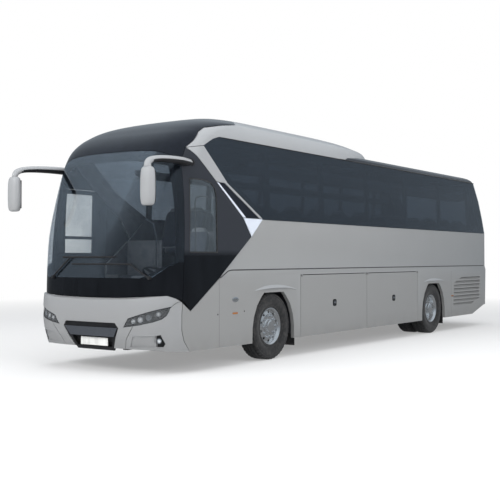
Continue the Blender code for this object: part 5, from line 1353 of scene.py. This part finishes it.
def make_driver_place():
    """Driver's seat, steering wheel and the hood over the instruments."""
    x = WHEEL_CENTRE.x
    pads = place(join(seat_pads(x, 1.14, PLATFORM_Z + 0.08)), "driver_seat_pads", "seat_cloth", SEAT_CLOTH,
                 HEAD_CLOTH, stands_for="driver_seat")
    base = [soft_box((x - 0.2, x + 0.2), (1.22, 1.6), (PLATFORM_Z + TOUCH, PLATFORM_Z + 0.1), 0.02),
            soft_box((x - 0.13, x + 0.13), (1.28, 1.54), (PLATFORM_Z + 0.09, PLATFORM_Z + 0.36), 0.03),
            soft_box((x - 0.21, x + 0.21), (1.17, 1.6), (PLATFORM_Z + 0.34, PLATFORM_Z + 0.415), 0.02)]
    place(base, "driver_seat_base", "black_plastic", BLACK_PLASTIC)
    rim = turned([(0.225 + a, b) for a, b in circle(14, 0.016, 0.016)], 56)
    hub = turned([(0.001, -0.02), (0.06, -0.02), (0.066, 0.0), (0.058, 0.016), (0.03, 0.022),
                  (0.001, 0.023)], 28)
    spokes = []
    for angle in (0.0, math.radians(125), math.radians(235)):
        spoke = sweep([(0.0, 0.05, 0.0), (-0.004, 0.13, 0.0), (0.0, 0.216, 0.0)],
                      [(0.022, 0.008), (0.016, 0.007), (0.018, 0.008)], 10)
        spoke.data.transform(Matrix.Rotation(angle, 4, "X"))
        spokes.append(spoke)
    wheel = aim(join([rim, hub, *spokes]), WHEEL_CENTRE, WHEEL_AXIS)
    place(wheel, "steering_wheel_dressed", "black_plastic", BLACK_PLASTIC, body="hand_wheel",
          stands_for="steering_wheel")
    dials = [soft_box((0.34, 0.9), (0.585, 0.715), (1.24 + TOUCH, 1.325), 0.03, 3),
             soft_box((-0.32, 0.2), (0.52, 0.68), (1.24 + TOUCH, 1.262), 0.01)]
    place(dials, "instrument_hood", "black_plastic", GREY_PLASTIC)


def make_saloon():
    """Wall behind the driver, luggage racks and the grab pole at the entrance."""
    wall = [soft_box((0.1, 1.1), (2.06, 2.09), (DECK_Z + TOUCH, 1.98), 0.01),
            soft_box((-1.1, -0.36), (2.06, 2.09), (DECK_Z + TOUCH, 1.86), 0.01)]
    place(wall, "cab_partition", "black_plastic", GREY_PLASTIC)
    racks = []
    for side in SIDES.values():
        outline = [(side * 0.66, 2.965), (side * 0.7, 2.9), (side * 1.02, 2.88), (side * 1.15, 2.96),
                   (side * 1.15, 2.985), (side * 0.7, 2.975)]
        racks.append(prism("y", outline, *RACK_Y))
        racks.append(box(span(side, 1.13, 1.165), RACK_Y, (2.96, 3.04)))
    place(racks, "luggage_racks", "black_plastic", GREY_PLASTIC)
    pole = sweep([(-0.42, 2.0, DECK_Z + TOUCH), (-0.42, 2.0, 1.9), (-0.44, 1.96, 2.12), (-0.6, 1.96, 2.2)],
                 (0.016, 0.016), 12)
    place(pole, "grab_pole", "polished_rim", SATIN)


# Tail and right side

def tail_y(z):
    """Y of the rearmost skin at a height."""
    drop_at = ((SKIRT_Z, 0.05), (0.79, 0.0), (BELT_Z, 0.015), (2.67, 0.22), (3.06, 0.42), (GLASS_TOP_Z, 0.6))
    return LENGTH - table_value(drop_at, z)


def on_tail(x_range, z_range, proud, radius):
    """A soft-edged plate on the tail, which follows its slope by the height of its middle."""
    skin = tail_y(sum(z_range) / 2)
    return soft_box(x_range, (skin + TOUCH, skin + proud), z_range, radius)


def make_tail_lamps(label, side):
    """Upright lamp cluster: red, amber and clear chambers in a black frame."""
    low, high = span(side, 0.846, 0.994)
    skin = tail_y(1.4)
    holder = soft_box((low, high), (skin - 0.05, skin - 0.01), (1.026, 1.914), 0.006)
    parts = [tint(holder, 3)]
    for *z_range, look in ((1.04, 1.2, 2), (1.215, 1.4, 1), (1.415, 1.65, 0), (1.665, 1.9, 0)):
        cell = soft_box((low + 0.012, high - 0.012), (skin - 0.012, skin + 0.004), z_range, 0.01, 3)
        parts.append(tint(cell, look))
    place(parts, "tail_cluster_" + label, "red_lens", LENS_RED, LENS_AMBER, LAMP_WHITE, BLACK_PLASTIC,
          stands_for="tail_lamp_" + label)


def make_tail_dress():
    """Blank plate, bumper line, reflectors, handle, brake light and exhaust."""
    plate = on_tail((-0.26, 0.26), (0.6, 0.712), 0.008, 0.003)
    place(plate, "rear_plate_blank", "black_plastic", PLATE_WHITE)
    line = sweep([(x, LENGTH + 0.0005, 0.8) for x in (-1.03, -0.5, 0.0, 0.5, 1.03)], (0.003, 0.007), 8)
    lamp_strip = on_tail((-0.3, 0.3), (2.085, 2.115), 0.01, 0.004)
    plate_light = on_tail((-0.14, 0.14), (0.73, 0.752), 0.022, 0.004)
    reflectors = [on_tail(span(side, 0.86, 1.0), (0.6, 0.64), 0.006, 0.002) for side in SIDES.values()]
    parts = [tint(line, 1), lamp_strip, tint(plate_light, 1), *reflectors]
    place(parts, "tail_marks", "red_lens", LENS_RED, BLACK_PLASTIC)
    grip = on_tail((-0.1, 0.1), (0.905, 0.955), 0.006, 0.01)
    lip = on_tail((-0.085, 0.085), (0.925, 0.945), 0.016, 0.006)
    place([grip, tint(lip, 1)], "hatch_handle", "black_plastic", BLACK_PLASTIC, CHROME, body="hatch")
    pipe = sweep([(-0.8, 11.2, 0.62), (-0.8, 11.4, 0.5), (-0.8, 11.6, 0.435), (-0.8, 11.86, 0.425)],
                 (0.055, 0.055), 24)
    bore = sweep([(-0.8, 11.62, 0.435), (-0.8, 11.9, 0.424)], (0.048, 0.048), 24)
    place(cut(pipe, bore), "exhaust_pipe", "cast_metal", CAST)


def make_mid_door_dress():
    """Dark pane and the recessed grip of the plug door in the middle of the right side."""
    side = SIDES["right"]
    low_y, high_y = MID_DOOR_Y
    skin = HALF - WAIST_INSET
    pane = box(span(side, skin + TOUCH, skin + 0.004), (low_y + 0.1, high_y - 0.1), (1.46, 1.99))
    grip = side_plate(side, oval((low_y + 0.14, 1.1), 0.055, 0.04, 24, 0.5), 0.004, 0.0015)
    place([pane, tint(grip, 1)], "mid_door_dress", "black_gloss", BLACK_GLOSS, BLACK_PLASTIC)


ROOF_HATCH_X = (-0.38, 0.38)
ROOF_HATCH_Y = (8.6, 10.3)
ROOF_HATCH_LONG = 0.66


def make_roof_dress():
    """Two escape hatches behind the hood."""
    z_range = (ROOF_TOP_Z - 0.035, ROOF_TOP_Z + 0.026)
    lids = [soft_box(ROOF_HATCH_X, (y, y + ROOF_HATCH_LONG), z_range, 0.016, 3) for y in ROOF_HATCH_Y]
    place(lids, "roof_hatches", "black_gloss", GREY_PLASTIC)


# Stage, light and camera

FLOOR_REACH = 60.0
FLOOR_FADE = (9.0, 20.0)
WHITE = (1.0, 1.0, 1.0)


def make_stage():
    """A pale floor that keeps the coach's shadow and fades into a white background."""
    far = FLOOR_REACH
    floor = blank([(-far, -far, 0), (far, -far, 0), (far, far, 0), (-far, far, 0)], [(0, 1, 2, 3)])
    floor.name = "floor"
    look = Look("floor_look", (0.78, 0.78, 0.78), 0.9)
    path = look.node("LightPath")
    seen = look.combined("MAXIMUM", path.outputs["Is Camera Ray"], path.outputs["Is Transmission Ray"])
    length = look.node("VectorMath", "LENGTH", Vector=look.place).outputs["Value"]
    share = look.times(look.scaled(length, *FLOOR_FADE, 0.3, 1.0), seen)
    lit = look.blend(share, look.shader, look.node("Emission", Color=WHITE))
    dim = look.node("Emission", Color=(0.2, 0.21, 0.22))
    look.show(look.blend(path.outputs["Is Glossy Ray"], lit, dim))
    floor.data.materials.append(look.made)


def make_world():
    """Even pale light, white where the camera looks, and a sky over a dark horizon in reflections."""
    world = bpy.data.worlds.new("studio")
    bpy.context.scene.world = world
    look = Graph(world)
    light = look.nodes["Background"]
    look.feed(light.inputs["Color"], (0.93, 0.96, 1.0))
    look.feed(light.inputs["Strength"], 0.6)
    rise = look.scaled(look.height("Generated"), 0.02, 0.6, 0.26, 0.55)
    sky = look.node("Background", Color=(0.8, 0.9, 1.0), Strength=rise)
    path = look.node("LightPath")
    for_glossy = look.blend(path.outputs["Is Glossy Ray"], light, sky)
    white = look.node("Background", Color=WHITE)
    look.show(look.blend(path.outputs["Is Camera Ray"], for_glossy, white), "World Output")


def make_light(name, stand, aim_at, size, power, colour=WHITE):
    data = bpy.data.lights.new(name, "AREA")
    data.shape = "RECTANGLE"
    data.size, data.size_y = size
    data.energy = power
    data.color = colour
    lamp = bpy.data.objects.new(name, data)
    lamp.location = stand
    lamp.visible_glossy = False
    lamp.rotation_euler = (Vector(aim_at) - Vector(stand)).to_track_quat("-Z", "Y").to_euler()
    bpy.context.scene.collection.objects.link(lamp)


def make_lights():
    make_light("sky_panel", (2.0, -1.0, 11.0), (0.0, 0.0, 1.0), (14.0, 20.0), 1250.0)
    make_light("front_panel", (-2.0, -16.0, 7.5), (0.0, -5.0, 1.5), (10.0, 5.0), 1150.0, (1.0, 0.995, 0.985))
    make_light("side_panel", (14.0, -4.0, 6.0), (0.0, 0.0, 1.5), (12.0, 4.0), 640.0)


def make_camera():
    data = bpy.data.cameras.new("photo_camera")
    data.lens = CAMERA_LENS
    data.sensor_width = 36.0
    data.clip_end = 200.0
    camera = bpy.data.objects.new("photo_camera", data)
    camera.location = CAMERA_PLACE + Vector((0.0, NOSE_Y, 0.0))
    camera.rotation_euler = (math.radians(90.0) + CAMERA_PITCH, 0.0, CAMERA_YAW)
    bpy.context.scene.collection.objects.link(camera)
    bpy.context.scene.camera = camera


def build():
    finish_frame()
    make_windscreen()
    make_dome_and_hood()
    make_front_door()
    make_bumper()
    make_centre_grille()
    make_driver_place()
    make_saloon()
    make_tail_dress()
    make_mid_door_dress()
    make_roof_dress()
    for label, side in SIDES.items():
        make_hoop(label, side)
        make_corner_panel(label, side)
        make_headlamp(label, side)
        make_fog_lamp(label, side)
        make_side_lines(label, side)
        make_wheel_lips(label, side)
        make_side_markers(label, side)
        make_flap_locks(label, side)
        make_louvres(label, side)
        make_mud_flaps(label, side)
        make_mirror(label, side)
        make_passenger_seats(label, side)
        make_tail_lamps(label, side)
        for spot in ("front_tyre_", "rear_tyre_outer_", "rear_tyre_inner_"):
            make_tyre(spot + label, label)
        make_rim(label, side, "front", FRONT_RIM, FRONT_AXLE_Y)
        make_rim(label, side, "rear", REAR_RIM, REAR_AXLE_Y)
    make_stage()
    make_world()
    make_lights()
    make_camera()
    bpy.context.scene.view_settings.view_transform = "Standard"


build()
